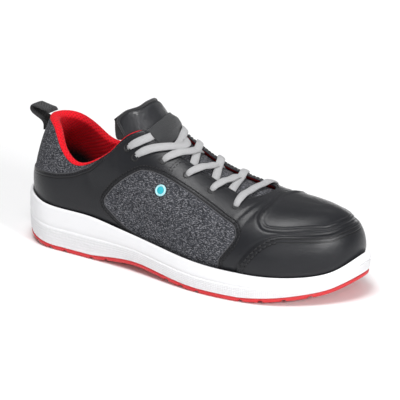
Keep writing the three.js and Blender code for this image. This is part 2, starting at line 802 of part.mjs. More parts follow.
function strand({ from, endAt, bow }, side, middleLift) {
  const start = eyeletTable[from];
  const startOut = side * start.out * ballWidth;
  const farOut = -side * (throatHalf(endAt) - laceWidth * 0.75);
  const steps = 10;
  return Array.from({ length: steps + 1 }, (_, i) => {
    const t = i / steps;
    const at = start.at + (endAt - start.at) * t + bow * sin(PI * t);
    const out = startOut + (farOut - startOut) * t;
    const climb = smooth((abs(out) - throatHalf(at) + strandFoot) / strandClimb);
    const onEdge = sign(out) === side ? climb : 0;
    const toFar = smooth(-side * out / (0.1 * ballWidth));
    const middle = middleLift + (underLift - middleLift) * toFar;
    return onLast(at, out, middle + (laceSeat - middle) * onEdge);
  });
}

const laceBand = (stations) => band(stations, laceWidth, laceThickness);

function laceCrossing(index) {
  const row = strandTable[index];
  return laceBand(strand(row, -1, overLift)).add(laceBand(strand(row, 1, underLift)));
}

// A straight bar from an eyelet to its partner, over both edges of the throat.
function laceBar(index, bow) {
  const { at, out } = eyeletTable[index];
  const reach = out * ballWidth;
  const steps = 20;
  return laceBand(Array.from({ length: steps + 1 }, (_, i) => {
    const y = -reach + 2 * reach * i / steps;
    const forward = bow * (1 - (y / reach) ** 2);
    const onEdge = smooth((abs(y) - throatHalf(at) + barFoot) / barClimb);
    return onLast(at + forward, y, underLift + (laceSeat - underLift) * onEdge);
  }));
}

const topBarBow = 0.060;

// A blank woven label bridges the top bar on the tongue: a flat channel with two sewn feet.
function tongueLabel() {
  const at = eyeletTable.at(-1).at + topBarBow + 0.005;
  const inner = laceThickness + clearance * 2;
  const rows = 10;
  const grid = (profile) => Array.from({ length: rows + 1 }, (_, i) => {
    const y = labelLength * (0.5 - i / rows);
    return profile.map(([along, lift]) => {
      const place = at - topBarBow * 0.4 * (2 * y / labelLength) ** 2 + along / soleLength;
      return onLast(place, y, tongueLift + clearance + lift).place.toArray();
    });
  });
  const w = labelWidth / 2;
  const t = labelThickness;
  const f = labelFoot;
  const outer = [[-w, 0], [-w + 0.75 * f, inner + t], [0, inner + t], [w - 0.75 * f, inner + t], [w, 0]];
  const hollow = [[-w + f, 0], [-w + 1.5 * f, inner], [0, inner], [w - 1.5 * f, inner], [w - f, 0]];
  return sheetSolid(grid(outer), grid(hollow));
}

// Pull loop: a strap behind the heel, both ends sewn under the collar's edge. Its path is
// in shares of the loop's reach behind the heel and of the heel's height.
const loopPath = [
  { out: 0.065, z: 0.865 }, { out: 0.268, z: 0.928 }, { out: 0.715, z: 0.985 }, { out: 1.0, z: 1.040 },
  { out: 0.894, z: 1.090 }, { out: 0.553, z: 1.118 }, { out: 0.179, z: 1.102 }, { out: -0.049, z: 1.065 },
  { out: -0.122, z: 1.024 },
];

const loopSeat = 0.93;         // above this share of the heel's height the loop stands free

// How far back the heel's surface stands at a height.
function heelSurface(z) {
  let rise = 0;
  while (rise < 1 && lastPoint(0, rise)[2] < z) {
    rise += 0.002;
  }
  return lastPoint(0, rise)[0];
}

function pullLoop() {
  const y = centreAt(0);
  const through = loopPath.map(({ out, z }) => {
    const surface = heelSurface(min(z, loopSeat) * heelHeight);
    return new THREE.Vector3(surface - out * loopReach, y, z * heelHeight);
  });
  const spline = new THREE.CatmullRomCurve3(through, false, 'centripetal');
  const steps = 22;
  const stations = Array.from({ length: steps + 1 }, (_, i) => {
    const along = spline.getTangentAt(i / steps);
    return {
      place: spline.getPointAt(i / steps),
      facing: along.clone().cross(new THREE.Vector3(0, 1, 0)),
    };
  });
  return band(stations, loopWidth, loopThickness);
}

// A plain round badge on the outer side's fabric.
const badgeAt = 0.487;
const badgeHeight = 0.695;

function sideBadge() {
  let out = 0;
  while (onLast(badgeAt, -out, 0).place.z > badgeHeight * heelHeight) {
    out += 0.2;
  }
  const { place, facing } = onLast(badgeAt, -out, badgeThickness / 2 - overlayStep + clearance);
  const disc = new THREE.CylinderGeometry(badgeDiameter / 2, badgeDiameter / 2 + 0.2, badgeThickness, 20);
  disc.applyQuaternion(new THREE.Quaternion().setFromUnitVectors(new THREE.Vector3(0, 1, 0), facing));
  disc.translate(place.x, place.y, place.z);
  return toManifold(disc);
}

// Materials

const looks = {
  redRubber: { color: 0xc22026, roughness: 0.6, metalness: 0 },
  whiteFoam: { color: 0xf1f1f2, roughness: 0.55, metalness: 0 },
  blackLeather: { color: 0x1d1d21, roughness: 0.42, metalness: 0 },
  insoleFabric: { color: 0x26262a, roughness: 0.9, metalness: 0 },
  greyFabric: { color: 0x3a3b3f, roughness: 0.85, metalness: 0 },
  laceFabric: { color: 0xa9aaac, roughness: 0.85, metalness: 0 },
  webbing: { color: 0x202124, roughness: 0.85, metalness: 0 },
  badge: { color: 0x2fb8c6, roughness: 0.35, metalness: 0 },
};

function piece(name, solid, look) {
  const mesh = new THREE.Mesh(toGeometry(solid), new THREE.MeshStandardMaterial(looks[look]));
  mesh.name = name;
  return mesh;
}

const shoe = new THREE.Group();
shoe.add(
  piece('outsole', outsole(), 'redRubber'),
  piece('midsole', midsole(), 'whiteFoam'),
  piece('insole', insole(), 'insoleFabric'),
  piece('upper', upper(), 'blackLeather'),
  piece('tongue', tongue(), 'greyFabric'),
  piece('tongue_label', tongueLabel(), 'webbing'),
  piece('lace_top_bar', laceBar(eyeletTable.length - 1, topBarBow), 'laceFabric'),
  piece('lace_toe_bar', laceBar(0, 0), 'laceFabric'),
  piece('pull_loop', pullLoop(), 'webbing'),
  piece('side_badge', sideBadge(), 'badge'),
);
for (let index = 0; index < strandTable.length; index++) {
  shoe.add(piece(`lace_crossing_${index + 1}`, laceCrossing(index), 'laceFabric'));
}

export default shoe;
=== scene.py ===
"""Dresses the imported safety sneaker: leather and fabric upper, padded collar, tongue, laces,
stitching, foam midsole and lugged outsole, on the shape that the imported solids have.

Shapes are worked out in millimetres, +X to the toe, +Y to the inner side, +Z up.
"""

import math

import bmesh
import bpy
import numpy as np
from mathutils import Matrix, Vector


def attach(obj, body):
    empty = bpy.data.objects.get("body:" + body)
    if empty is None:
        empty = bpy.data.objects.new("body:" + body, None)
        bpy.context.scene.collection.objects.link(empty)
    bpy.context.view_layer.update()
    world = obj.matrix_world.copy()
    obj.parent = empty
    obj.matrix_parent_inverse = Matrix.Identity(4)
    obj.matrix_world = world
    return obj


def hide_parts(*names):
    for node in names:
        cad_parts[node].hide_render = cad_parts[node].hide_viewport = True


bl_info = {
    "name": "Safety sneaker dressing",
    "version": (1, 0, 0),
    "blender": (4, 5, 0),
    "location": "3D View > Sidebar > Sneaker",
    "description": "Makes the visible pieces of a safety sneaker round its packed solids",
    "category": "Object",
}

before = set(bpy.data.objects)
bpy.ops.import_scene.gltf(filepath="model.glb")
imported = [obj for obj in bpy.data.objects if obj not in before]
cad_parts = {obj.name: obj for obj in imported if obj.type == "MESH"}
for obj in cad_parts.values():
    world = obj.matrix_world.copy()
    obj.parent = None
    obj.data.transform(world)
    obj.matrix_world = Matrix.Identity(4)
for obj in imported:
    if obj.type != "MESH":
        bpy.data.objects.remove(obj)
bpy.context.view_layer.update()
BODY = "root"
MM = 0.001

# Driving sizes of the shoe, mm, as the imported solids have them

SOLE_LENGTH = 300.0
BALL_WIDTH = 112.0
INSTEP_HEIGHT = 128.0
HEEL_HEIGHT = 100.0
RIM_HEIGHT = 36.0
TOE_SPRING = 17.0
UPPER_WALL = 2.2
OVERLAY_STEP = 0.8
COLLAR_PADDING = 4.5
HEEL_FOAM = 17.0
BALL_FOAM = 9.0
OUTSOLE_THICKNESS = 3.0
TREAD_DEPTH = 1.6
GROOVE_WIDTH = 3.0
TONGUE_THICKNESS = 4.0
TONGUE_TOP_PADDING = 3.0
LACE_WIDTH = 6.7
LACE_THICKNESS = 1.9
EYELET_DIAMETER = 4.6
LABEL_WIDTH = 13.0
LABEL_LENGTH = 28.0
LABEL_THICKNESS = 0.9
BADGE_DIAMETER = 9.0
CLEARANCE = 0.35
CURVED_CLEARANCE = 0.9
WIDEST_ABOVE_RIM = 6.0
TUCK = 6.0
HEEL_BACK = 0.011
TOE_TIP = 0.982
THROAT_FRONT = 0.738
THROAT_TOP = 0.40
FAN_START = 0.74
FAN_REACH = 0.115
LEAN_START = 0.50
HEEL_LEAN = 12.0
COLLAR_SKEW = 0.010
# Ends of a plan: length of the rounding and its power, at the heel and at the toe.
SOLE_ENDS = (0.13, 2.1, 0.225, 2.0)
UPPER_ENDS = (0.14, 2.1, 0.225, 2.1)
# The foam thins from heel to ball over this stretch of the length.
FOAM_FADE_START = 0.22
FOAM_FADE = 0.42
THROAT_NOSE = 0.045
TONGUE_LIFT = -(UPPER_WALL + CURVED_CLEARANCE + 2 * CLEARANCE)

# Shape tables: the first column is a share of the sole's length from the heel.
# Sole: half width and centre line, shares of the ball width.
SOLE = np.array([
    (0.00, 0.350, 0.010), (0.12, 0.362, 0.005), (0.28, 0.366, -0.010), (0.42, 0.385, -0.030),
    (0.54, 0.450, -0.020), (0.66, 0.497, 0.000), (0.78, 0.488, 0.022), (0.90, 0.440, 0.058),
    (1.00, 0.380, 0.095),
])
# Midsole's rim, shares of the rim height.
RIM = np.array([
    (0.00, 1.19), (0.05, 1.13), (0.10, 1.05), (0.18, 1.00), (0.26, 0.99), (0.34, 0.91),
    (0.42, 0.83), (0.50, 0.76), (0.58, 0.69), (0.66, 0.64), (0.74, 0.62), (0.86, 0.61),
    (0.92, 0.64), (0.96, 0.74), (1.00, 1.03),
])
# Underside of the sole, shares of the toe spring.
GROUND = np.array([
    (0.00, 0.38), (0.05, 0.22), (0.10, 0.07), (0.15, -0.01), (0.26, -0.01), (0.34, 0.17),
    (0.42, 0.30), (0.50, 0.20), (0.58, 0.05), (0.64, -0.01), (0.74, -0.01), (0.80, 0.08),
    (0.86, 0.20), (0.91, 0.34), (0.95, 0.51), (1.00, 1.00),
])
# Upper: half width, centre line, ridge and how square its section is.
UPPER = np.array([
    (0.00, 0.325, 0.010, 0.88, 2.20), (0.12, 0.338, 0.005, 0.90, 2.20),
    (0.25, 0.335, -0.008, 1.00, 2.20), (0.34, 0.340, -0.018, 1.05, 2.15),
    (0.42, 0.362, -0.020, 0.885, 2.10), (0.50, 0.402, -0.014, 0.745, 2.05),
    (0.58, 0.443, -0.006, 0.650, 2.05), (0.66, 0.464, 0.004, 0.595, 2.05),
    (0.74, 0.462, 0.016, 0.560, 2.10), (0.82, 0.448, 0.034, 0.538, 2.20),
    (0.90, 0.420, 0.056, 0.525, 2.30), (1.00, 0.380, 0.085, 0.500, 2.30),
])
# Collar's topline, shares of the heel height.
TOPLINE = np.array([
    (0.00, 1.000), (0.07, 1.000), (0.10, 0.970), (0.12, 0.920), (0.14, 0.855), (0.16, 0.795),
    (0.18, 0.758), (0.205, 0.743), (0.24, 0.760), (0.28, 0.822), (0.32, 0.910), (0.36, 1.035),
    (0.39, 1.085), (0.44, 1.120),
])
# Lacing throat: half width, share of the ball width.
THROAT = np.array([
    (0.34, 0.210), (0.42, 0.165), (0.50, 0.132), (0.57, 0.122), (0.62, 0.136), (0.66, 0.155),
    (0.73, 0.165),
])
# Eyelets of one side, from the toe up: share of length, share of ball width from the middle.
EYELETS = np.array([
    (0.694, 0.268), (0.614, 0.229), (0.539, 0.216), (0.469, 0.224), (0.396, 0.278), (0.370, 0.270),
])
# Tongue: half width, share of the ball width.
TONGUE = np.array([
    (0.31, 0.270), (0.37, 0.262), (0.42, 0.265), (0.50, 0.260), (0.62, 0.235), (0.77, 0.215),
])
# Seams, side view: share of length, share of heel height.
PANEL = np.array([
    (0.311, 0.506), (0.335, 0.614), (0.355, 0.671), (0.387, 0.748), (0.425, 0.812), (0.455, 0.808),
    (0.492, 0.783), (0.577, 0.696), (0.674, 0.590), (0.715, 0.540), (0.722, 0.457), (0.690, 0.310),
    (0.665, 0.200), (0.500, 0.240), (0.396, 0.330), (0.334, 0.435),
])
COUNTER = np.array([
    (0.000, 0.600), (0.040, 0.605), (0.080, 0.625), (0.120, 0.634), (0.155, 0.645), (0.200, 0.677),
    (0.230, 0.718), (0.255, 0.755), (0.290, 0.850),
])
GUARD = np.array([
    (0.738, 0.150), (0.744, 0.268), (0.757, 0.335), (0.785, 0.442), (0.815, 0.503), (0.850, 0.522),
    (0.890, 0.524), (0.930, 0.522), (0.956, 0.548), (0.990, 0.590),
])
STAY = np.array([(0.506, 0.895), (0.498, 0.855), (0.496, 0.800)])
# Raised seam on the toe box, plan view of one side: share of length, share of ball width.
VAMP = np.array([
    (0.774, 0.00), (0.779, 0.15), (0.776, 0.275), (0.785, 0.318), (0.803, 0.328), (0.848, 0.290),
    (0.900, 0.205), (0.930, 0.130), (0.945, 0.00),
])
VAMP_WIDTH = 3.2
ABOVE_RIM = 12.0


# Shape functions of the last and the sole

def natural_curve(table, column):
    """A natural cubic spline through one column of a table, as a function of arrays: between
    knots the value is a linear blend plus the cubic terms that make slope and bend continuous."""
    x, y = table[:, 0], table[:, column]
    n = len(x)
    h = np.diff(x)
    system = np.eye(n)
    right = np.zeros(n)
    for i in range(1, n - 1):
        system[i, i - 1:i + 2] = h[i - 1], 2 * (h[i - 1] + h[i]), h[i]
        right[i] = 6 * ((y[i + 1] - y[i]) / h[i] - (y[i] - y[i - 1]) / h[i - 1])
    bend = np.linalg.solve(system, right)

    def value(at):
        s = np.clip(at, x[0], x[-1])
        k = np.clip(np.searchsorted(x, s), 1, n - 1)
        step = x[k] - x[k - 1]
        a, b = (x[k] - s) / step, (s - x[k - 1]) / step
        cubic = ((a ** 3 - a) * bend[k - 1] + (b ** 3 - b) * bend[k]) * step * step / 6
        return a * y[k - 1] + b * y[k] + cubic

    return value


sole_half, sole_centre = natural_curve(SOLE, 1), natural_curve(SOLE, 2)
rim_share, lift_share = natural_curve(RIM, 1), natural_curve(GROUND, 1)
upper_half, upper_centre = natural_curve(UPPER, 1), natural_curve(UPPER, 2)
ridge_share, fullness = natural_curve(UPPER, 3), natural_curve(UPPER, 4)
topline_share, throat_share = natural_curve(TOPLINE, 1), natural_curve(THROAT, 1)
tongue_share = natural_curve(TONGUE, 1)


def smooth(value):
    """The cubic step 3t^2 - 2t^3 of a value held between 0 and 1."""
    t = np.clip(value, 0, 1)
    return t * t * (3 - 2 * t)


def length_at(at):
    """Millimetres along X of a share of the sole's length."""
    return (at - 0.5) * SOLE_LENGTH


def share_at(x):
    """Share of the sole's length of a place along X."""
    return x / SOLE_LENGTH + 0.5


def rim_at(at):
    """Height of the midsole's rim."""
    return rim_share(at) * RIM_HEIGHT


def ground_at(at):
    """Height of the sole's underside, which never goes below the floor."""
    return np.maximum(0, lift_share(at)) * TOE_SPRING


def centre_at(at):
    """The upper's centre line, along Y."""
    return upper_centre(at) * BALL_WIDTH


def floor_at(at):
    """Top of the midsole's floor: the ground line, the rubber and the foam's own thickness."""
    foam = HEEL_FOAM + (BALL_FOAM - HEEL_FOAM) * smooth((at - FOAM_FADE_START) / FOAM_FADE)
    return ground_at(at) * 0.8 + OUTSOLE_THICKNESS + CLEARANCE + foam


def rounded_ends(u, heel, heel_power, toe, toe_power):
    """Share of the full width left in two superelliptic ends: (1 - t^p)^(1/p) at each."""
    back = (1 - np.clip((heel - u) / heel, 0, 1) ** heel_power) ** (1 / heel_power)
    front = (1 - np.clip((u - 1 + toe) / toe, 0, 1) ** toe_power) ** (1 / toe_power)
    return back * front


def sole_plan(angle):
    """Outline of the sole: length by cosine of the angle, half width by its table."""
    at = (1 - np.cos(angle)) / 2
    half = sole_half(at) * BALL_WIDTH * rounded_ends(at, *SOLE_ENDS)
    return length_at(at), sole_centre(at) * BALL_WIDTH + np.sign(np.sin(angle)) * half


def upper_plan(angle):
    """Outline of the upper at its widest level, with the same angle as the sole's."""
    u = (1 - np.cos(angle)) / 2
    at = HEEL_BACK + (TOE_TIP - HEEL_BACK) * u
    half = upper_half(at) * BALL_WIDTH * rounded_ends(u, *UPPER_ENDS)
    return length_at(at), centre_at(at) + np.sign(np.sin(angle)) * half


def drawn_in(plan, angle, distance):
    """A plan point moved in by a distance, square to the outline's chord."""
    before, after = plan(angle - 0.02), plan(angle + 0.02)
    dx, dy = after[0] - before[0], after[1] - before[1]
    size = np.hypot(dx, dy)
    x, y = plan(angle)
    return x + distance * dy / size, y - distance * dx / size


def last_point(angle, rise):
    """The upper's outer surface. Rise is -1 at the feather edge, 0 at the widest level and 1 on
    the ridge. Above the widest level each rib is a superellipse from outline to ridge, and ahead
    of the fan's start the ribs lean back, so that they close over the toe."""
    angle, rise = np.broadcast_arrays(np.asarray(angle, float), np.asarray(rise, float))
    u = (1 - np.cos(angle)) / 2
    at = HEEL_BACK + (TOE_TIP - HEEL_BACK) * u
    widest = rim_at(at) + WIDEST_ABOVE_RIM
    low = floor_at(at) + CURVED_CLEARANCE
    depth = np.clip(-rise, 0, 1)
    x, y = drawn_in(upper_plan, angle, TUCK * depth * depth)
    lower = np.stack([x, y, widest - (widest - low) * depth], -1)
    r = np.clip(rise, 0, 1)
    x, y = upper_plan(angle)
    top = at - FAN_REACH * np.clip((at - FAN_START) / (TOE_TIP - FAN_START), 0, 1) ** 1.5
    across = np.maximum(np.cos(r * math.pi / 2), 0) ** (2 / fullness(at))
    z = widest + (ridge_share(top) * INSTEP_HEIGHT - widest) * np.sin(r * math.pi / 2)
    height = np.clip(z / HEEL_HEIGHT - LEAN_START, 0, 1) / (1 - LEAN_START)
    lean = HEEL_LEAN * height ** 1.6 * np.clip(1 - u / 0.35, 0, 1) ** 1.2
    x_top, y_top = length_at(top), centre_at(top)
    upper = np.stack([x_top + (x - x_top) * across + lean, y_top + (y - y_top) * across, z], -1)
    return np.where((rise < 0)[..., None], lower, upper)


def unit(v):
    """Vectors brought to length 1."""
    return v / np.maximum(np.linalg.norm(v, axis=-1, keepdims=True), 1e-12)


def slope_normal(angle, rise):
    """Outward normal: the cross product of the central differences up the rib and along it."""
    high = last_point(angle, np.minimum(1, rise + 0.004))
    low = last_point(angle, np.maximum(-1, np.minimum(1, rise + 0.004) - 0.008))
    along = last_point(angle + 0.02, rise) - last_point(angle - 0.02, rise)
    return unit(np.cross(high - low, along))


def last_normal(angle, rise):
    """The normal, averaged with its partner's on the ridge and on the middle line."""
    angle, rise = np.broadcast_arrays(np.asarray(angle, float), np.asarray(rise, float))
    normal = slope_normal(angle, rise)
    both = normal + slope_normal(2 * math.pi - angle, rise)
    both[..., 1] = 0
    middle = (rise >= 1) | (np.abs(np.sin(angle)) < 1e-6)
    return np.where(middle[..., None], unit(both), normal)


def throat_half(at):
    """Half width of the lacing throat, closed by a quarter ellipse at its front."""
    front = np.clip((at - THROAT_FRONT + THROAT_NOSE) / THROAT_NOSE, 0, 1)
    return throat_share(at) * BALL_WIDTH * np.sqrt(1 - front * front)


def is_open(points):
    """True above the collar's topline or inside the lacing throat."""
    x, y, z = points[..., 0], points[..., 1], points[..., 2]
    at = share_at(x)
    out = y - centre_at(at)
    skewed = at + np.sign(out) * COLLAR_SKEW * smooth((0.24 - at) / 0.06)
    over_collar = (at < THROAT_TOP + 0.04) & (z > topline_share(skewed) * HEEL_HEIGHT)
    return over_collar | ((at > THROAT_TOP - 0.05) & (np.abs(out) < throat_half(at)))


def edge_rise(angle):
    """Rise at which each rib reaches the collar or the throat, found by a scan and then by
    halving the interval, or 1 where the rib closes on the ridge."""
    scan = np.linspace(0, 1, 181)
    hit = is_open(last_point(angle[:, None], scan[None, :]))
    first = np.argmax(hit, axis=1)
    found = hit.any(axis=1)
    low, high = scan[np.maximum(first - 1, 0)], scan[first]
    for _ in range(18):
        middle = (low + high) / 2
        inside = is_open(last_point(angle, middle))
        high = np.where(inside, middle, high)
        low = np.where(inside, low, middle)
    return np.where(found, high, 1.0)


def last_place(at, out):
    """Angle and rise of the last over a place in plan, for the stretch behind the fan."""
    at, out = np.broadcast_arrays(np.asarray(at, float), np.asarray(out, float))
    u = (at - HEEL_BACK) / (TOE_TIP - HEEL_BACK)
    half = upper_half(at) * BALL_WIDTH * rounded_ends(u, *UPPER_ENDS)
    share = np.minimum(1, np.abs(out) / half) ** (fullness(at) / 2)
    turn = np.arccos(1 - 2 * u)
    return np.where(out >= 0, turn, 2 * math.pi - turn), np.arccos(share) * 2 / math.pi


def on_last(at, out, offset):
    """Points over a place in plan, moved out along the normal, and the normals."""
    angle, rise = last_place(at, out)
    normal = last_normal(angle, rise)
    return last_point(angle, rise) + normal * np.asarray(offset, float)[..., None], normal


def solve_place(first, second, side, axes):
    """Angle and rise whose point has two given coordinates, on one side of the shoe: the
    nearest place of a coarse net, then Newton steps with a numeric Jacobian."""
    target = np.stack([first, second], -1)
    a = np.linspace(0.03, math.pi - 0.03, 240)
    a = a if side > 0 else 2 * math.pi - a
    net_a, net_r = np.meshgrid(a, np.linspace(-0.6, 0.97, 160), indexing="ij")
    net = last_point(net_a, net_r)[..., list(axes)].reshape(-1, 2)
    near = ((target[:, None, :] - net[None]) ** 2).sum(-1).argmin(1)
    angle, rise = net_a.ravel()[near].copy(), net_r.ravel()[near].copy()
    for _ in range(8):
        here = last_point(angle, rise)[:, axes]
        da = (last_point(angle + 1e-3, rise)[:, axes] - here) / 1e-3
        dr = (last_point(angle, rise + 1e-3)[:, axes] - here) / 1e-3
        miss = target - here
        det = da[:, 0] * dr[:, 1] - da[:, 1] * dr[:, 0]
        det = np.where(np.abs(det) < 1e-6, 1e-6, det)
        angle += np.clip((miss[:, 0] * dr[:, 1] - miss[:, 1] * dr[:, 0]) / det, -0.05, 0.05)
        rise += np.clip((da[:, 0] * miss[:, 1] - da[:, 1] * miss[:, 0]) / det, -0.05, 0.05)
        rise = np.clip(rise, -0.98, 0.985)
    return angle, rise


# Outlines

def run_length(points, axis=0):
    """Length along a path, or along one side of a grid, from 0 at its first point."""
    steps = np.linalg.norm(np.diff(points, axis=axis), axis=-1)
    start = np.zeros_like(np.take(steps, [0], axis=axis))
    return np.concatenate([start, np.cumsum(steps, axis=axis)], axis=axis)


def sampled(values, reach, at):
    """Rows of values at given lengths along their path."""
    return np.stack([np.interp(at, reach, column) for column in values.T], -1)


def rounded_line(points, count, closed):
    """A Catmull-Rom line through a few places, at even steps of its own length."""
    p = np.asarray(points, float)
    if closed:
        p = np.concatenate([p[-1:], p, p[:2]])
    else:
        p = np.concatenate([2 * p[:1] - p[1:2], p, 2 * p[-1:] - p[-2:-1]])
    t = np.linspace(0, 1, 24, endpoint=False)[:, None]
    runs = []
    for a, b, c, d in zip(p, p[1:], p[2:], p[3:]):
        runs.append(0.5 * (2 * b + (c - a) * t + (2 * a - 5 * b + 4 * c - d) * t ** 2
                           + (3 * b - a - 3 * c + d) * t ** 3))
    line = np.concatenate(runs + [p[-2:-1]])
    reach = run_length(line)
    even = np.linspace(0, reach[-1], count, endpoint=not closed)
    return sampled(line, reach, even)


def outline_distance(px, py, outline):
    """Distance to a closed outline, positive outside: the least distance to its edges, with the
    sign from the number of edges that a level ray crosses."""
    best = np.full(px.shape, 1e9)
    inside = np.zeros(px.shape, bool)
    for (x0, y0), (x1, y1) in zip(outline, np.roll(outline, -1, axis=0)):
        dx, dy = x1 - x0, y1 - y0
        t = np.clip(((px - x0) * dx + (py - y0) * dy) / max(dx * dx + dy * dy, 1e-12), 0, 1)
        best = np.minimum(best, (px - x0 - t * dx) ** 2 + (py - y0 - t * dy) ** 2)
        if y0 != y1:
            crosses = ((y0 > py) != (y1 > py)) & (px < (x1 - x0) * (py - y0) / (y1 - y0) + x0)
            inside ^= crosses
    return np.sqrt(best) * np.where(inside, -1, 1)


def side_line(table, count, closed=False):
    """A seam's table in side view as a rounded line, in mm along X and Z."""
    return rounded_line(table * (1, HEEL_HEIGHT), count, closed) * (SOLE_LENGTH, 1) \
        - (SOLE_LENGTH / 2, 0)


def vamp_loop():
    """The toe box's raised seam in plan: half an outline and its mirror image, rounded, then
    moved over to the upper's centre line."""
    half = np.stack([length_at(VAMP[:, 0]), VAMP[:, 1] * BALL_WIDTH], -1)
    loop = rounded_line(np.concatenate([half, half[1:-1][::-1] * (1, -1)]), 120, True)
    loop[:, 1] += centre_at(share_at(loop[:, 0]))
    return loop


PANEL_LOOP = side_line(PANEL, 110, closed=True)
COUNTER_LINE = side_line(COUNTER, 50)
GUARD_LINE = side_line(GUARD, 70)
STAY_LINE = side_line(STAY, 24)


def surface_distance(field, points):
    """A field of projected distances turned into distances on the surface: the field over the
    length of its own gradient, which the first fundamental form of the grid gives."""
    def across(a):
        return (np.roll(a, -1, axis=0) - np.roll(a, 1, axis=0)) / 2

    pu, pv = across(points), np.gradient(points, axis=1)
    fu, fv = across(field), np.gradient(field, axis=1)
    e, f, g = (pu * pu).sum(-1), (pu * pv).sum(-1), (pv * pv).sum(-1)
    size = np.maximum(e * g - f * f, 1e-9)
    steep = np.sqrt(np.maximum((g * fu * fu - 2 * f * fu * fv + e * fv * fv) / size, 1e-9))
    return field / np.clip(steep, 0.3, 1.6)

# Meshes

BAND_END = 0.44


def grid_faces(ids):
    """Quads of a grid of vertex numbers, rows by columns."""
    return np.stack([ids[:-1, :-1], ids[1:, :-1], ids[1:, 1:], ids[:-1, 1:]], -1).reshape(-1, 4)


def numbered(grid, first=0):
    """Vertex numbers of a grid of points, from first on."""
    rows, columns = grid.shape[:2]
    return first + np.arange(rows * columns).reshape(rows, columns)


def ringed(ids):
    """A grid of vertex numbers whose first row comes again at its end."""
    return np.concatenate([ids, ids[:1]])


def tube_faces(grid):
    """Quads of a grid of points whose last column falls on its first."""
    ids = numbered(grid)
    ids[:, -1] = ids[:, 0]
    return grid_faces(ids)


def partners(ids):
    """Pairs across a mirrored ring: each number of one half with its partner's."""
    i = np.arange(len(ids) // 2 + 1)
    return np.stack([ids[i], ids[-i]], 1)


def bridged(ring, ids, steps, first):
    """Points on straight lines across a mirrored ring, in equal steps, and the grid of vertex
    numbers from rim to rim. The new points are numbered from first."""
    i = np.arange(len(ring) // 2 + 1)
    t = np.linspace(0, 1, steps + 1)[None, 1:-1, None]
    inner = ring[i][:, None] * (1 - t) + ring[-i][:, None] * t
    rims = partners(ids)
    return inner, np.concatenate([rims[:, :1], numbered(inner, first), rims[:, 1:]], axis=1)


def add_piece(name, points, faces, material, replaces=(), attributes=None, uv=None,
              weld=False, outward=True):
    """A mesh object from points in mm. uv holds one pair for each corner of each face, in mm.
    Doubled points at poles and seams are merged when weld is set."""
    mesh = bpy.data.meshes.new(name)
    mesh.from_pydata((np.asarray(points).reshape(-1, 3) * MM).tolist(), [], faces.tolist())
    if uv is not None:
        layer = mesh.uv_layers.new(name="UVMap")
        layer.data.foreach_set("uv", np.asarray(uv, np.float32).ravel())
    for key, values in (attributes or {}).items():
        layer = mesh.attributes.new(key, "FLOAT", "POINT")
        layer.data.foreach_set("value", np.asarray(values, np.float32).ravel())
    if weld or outward:
        work = bmesh.new()
        work.from_mesh(mesh)
        if weld:
            bmesh.ops.remove_doubles(work, verts=work.verts, dist=2e-6)
            bmesh.ops.dissolve_degenerate(work, dist=1e-7, edges=work.edges)
        if outward:
            bmesh.ops.recalc_face_normals(work, faces=work.faces)
        work.to_mesh(mesh)
        work.free()
    mesh.polygons.foreach_set("use_smooth", np.ones(len(mesh.polygons), bool))
    mesh.materials.append(material)
    mesh.update()
    piece = bpy.data.objects.new(name, mesh)
    bpy.context.scene.collection.objects.link(piece)
    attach(piece, BODY)
    if replaces:
        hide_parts(*replaces)
    return piece


def corner_uv(u, v):
    """Each quad's corner coordinates from u down and v across a grid, as grid_faces orders them."""
    uv = np.stack(np.broadcast_arrays(u, v), -1)
    return np.stack([uv[:-1, :-1], uv[1:, :-1], uv[1:, 1:], uv[:-1, 1:]], 2).reshape(-1, 2)


def blank_uv(faces):
    """Corner coordinates of quads that carry no pattern."""
    return np.zeros((len(faces) * 4, 2))


def superellipse(wave, power):
    """One coordinate of a superellipse, from the cosine or the sine of its angle."""
    return np.sign(wave) * np.abs(wave) ** (2 / power)


def swept_band(path, facing, width, thickness, sides=16, power=2.6):
    """A band carried along a path. Its section is a superellipse, width across and thickness
    along the facing, and each end closes to a line. Returns points, quads and corner uvs."""
    along = unit(np.gradient(path, axis=0))
    side = unit(np.cross(along, unit(facing)))
    up = np.cross(side, along)
    width = np.broadcast_to(width, len(path))[:, None, None]
    thickness = np.broadcast_to(thickness, len(path))[:, None, None]
    phi = np.linspace(0, 2 * math.pi, sides + 1)
    across = superellipse(np.cos(phi), power)[:, None]
    high = superellipse(np.sin(phi), power)[:, None]
    rings = path[:, None] + side[:, None] * across * width / 2 + up[:, None] * high * thickness / 2
    first, last = (path[k] + side[k] * across * width[k] * BAND_END for k in (0, -1))
    rings = np.concatenate([first[None], rings, last[None]])
    length = run_length(path)
    u = np.concatenate([[-0.5], length, [length[-1] + 0.5]])[:, None]
    girth = np.mean(width) * 1.05
    v = np.interp(phi, [0, math.pi, 2 * math.pi], [0, girth, 2 * girth])[None]
    return rings.reshape(-1, 3), tube_faces(rings), corner_uv(u, v)


def turned_profile(centre, normal, start, profile, sides):
    """A profile of radius and height turned about a normal. Returns points, quads and uvs."""
    first = unit(np.cross(normal, start))
    second = np.cross(normal, first)
    turn = np.linspace(0, 2 * math.pi, sides + 1)[:, None]
    ring = first * np.cos(turn) + second * np.sin(turn)
    radius, height = np.asarray(profile).T[:, :, None, None]
    points = centre + radius * ring + height * normal
    faces = tube_faces(points)
    return points.reshape(-1, 3), faces, blank_uv(faces)


def joined(parts):
    """Several sets of points, quads and corner uvs as one."""
    points, faces, uvs = zip(*parts)
    starts = np.cumsum([0] + [len(p) for p in points[:-1]])
    faces = [f + start for f, start in zip(faces, starts)]
    return np.concatenate(points), np.concatenate(faces), np.concatenate(uvs)


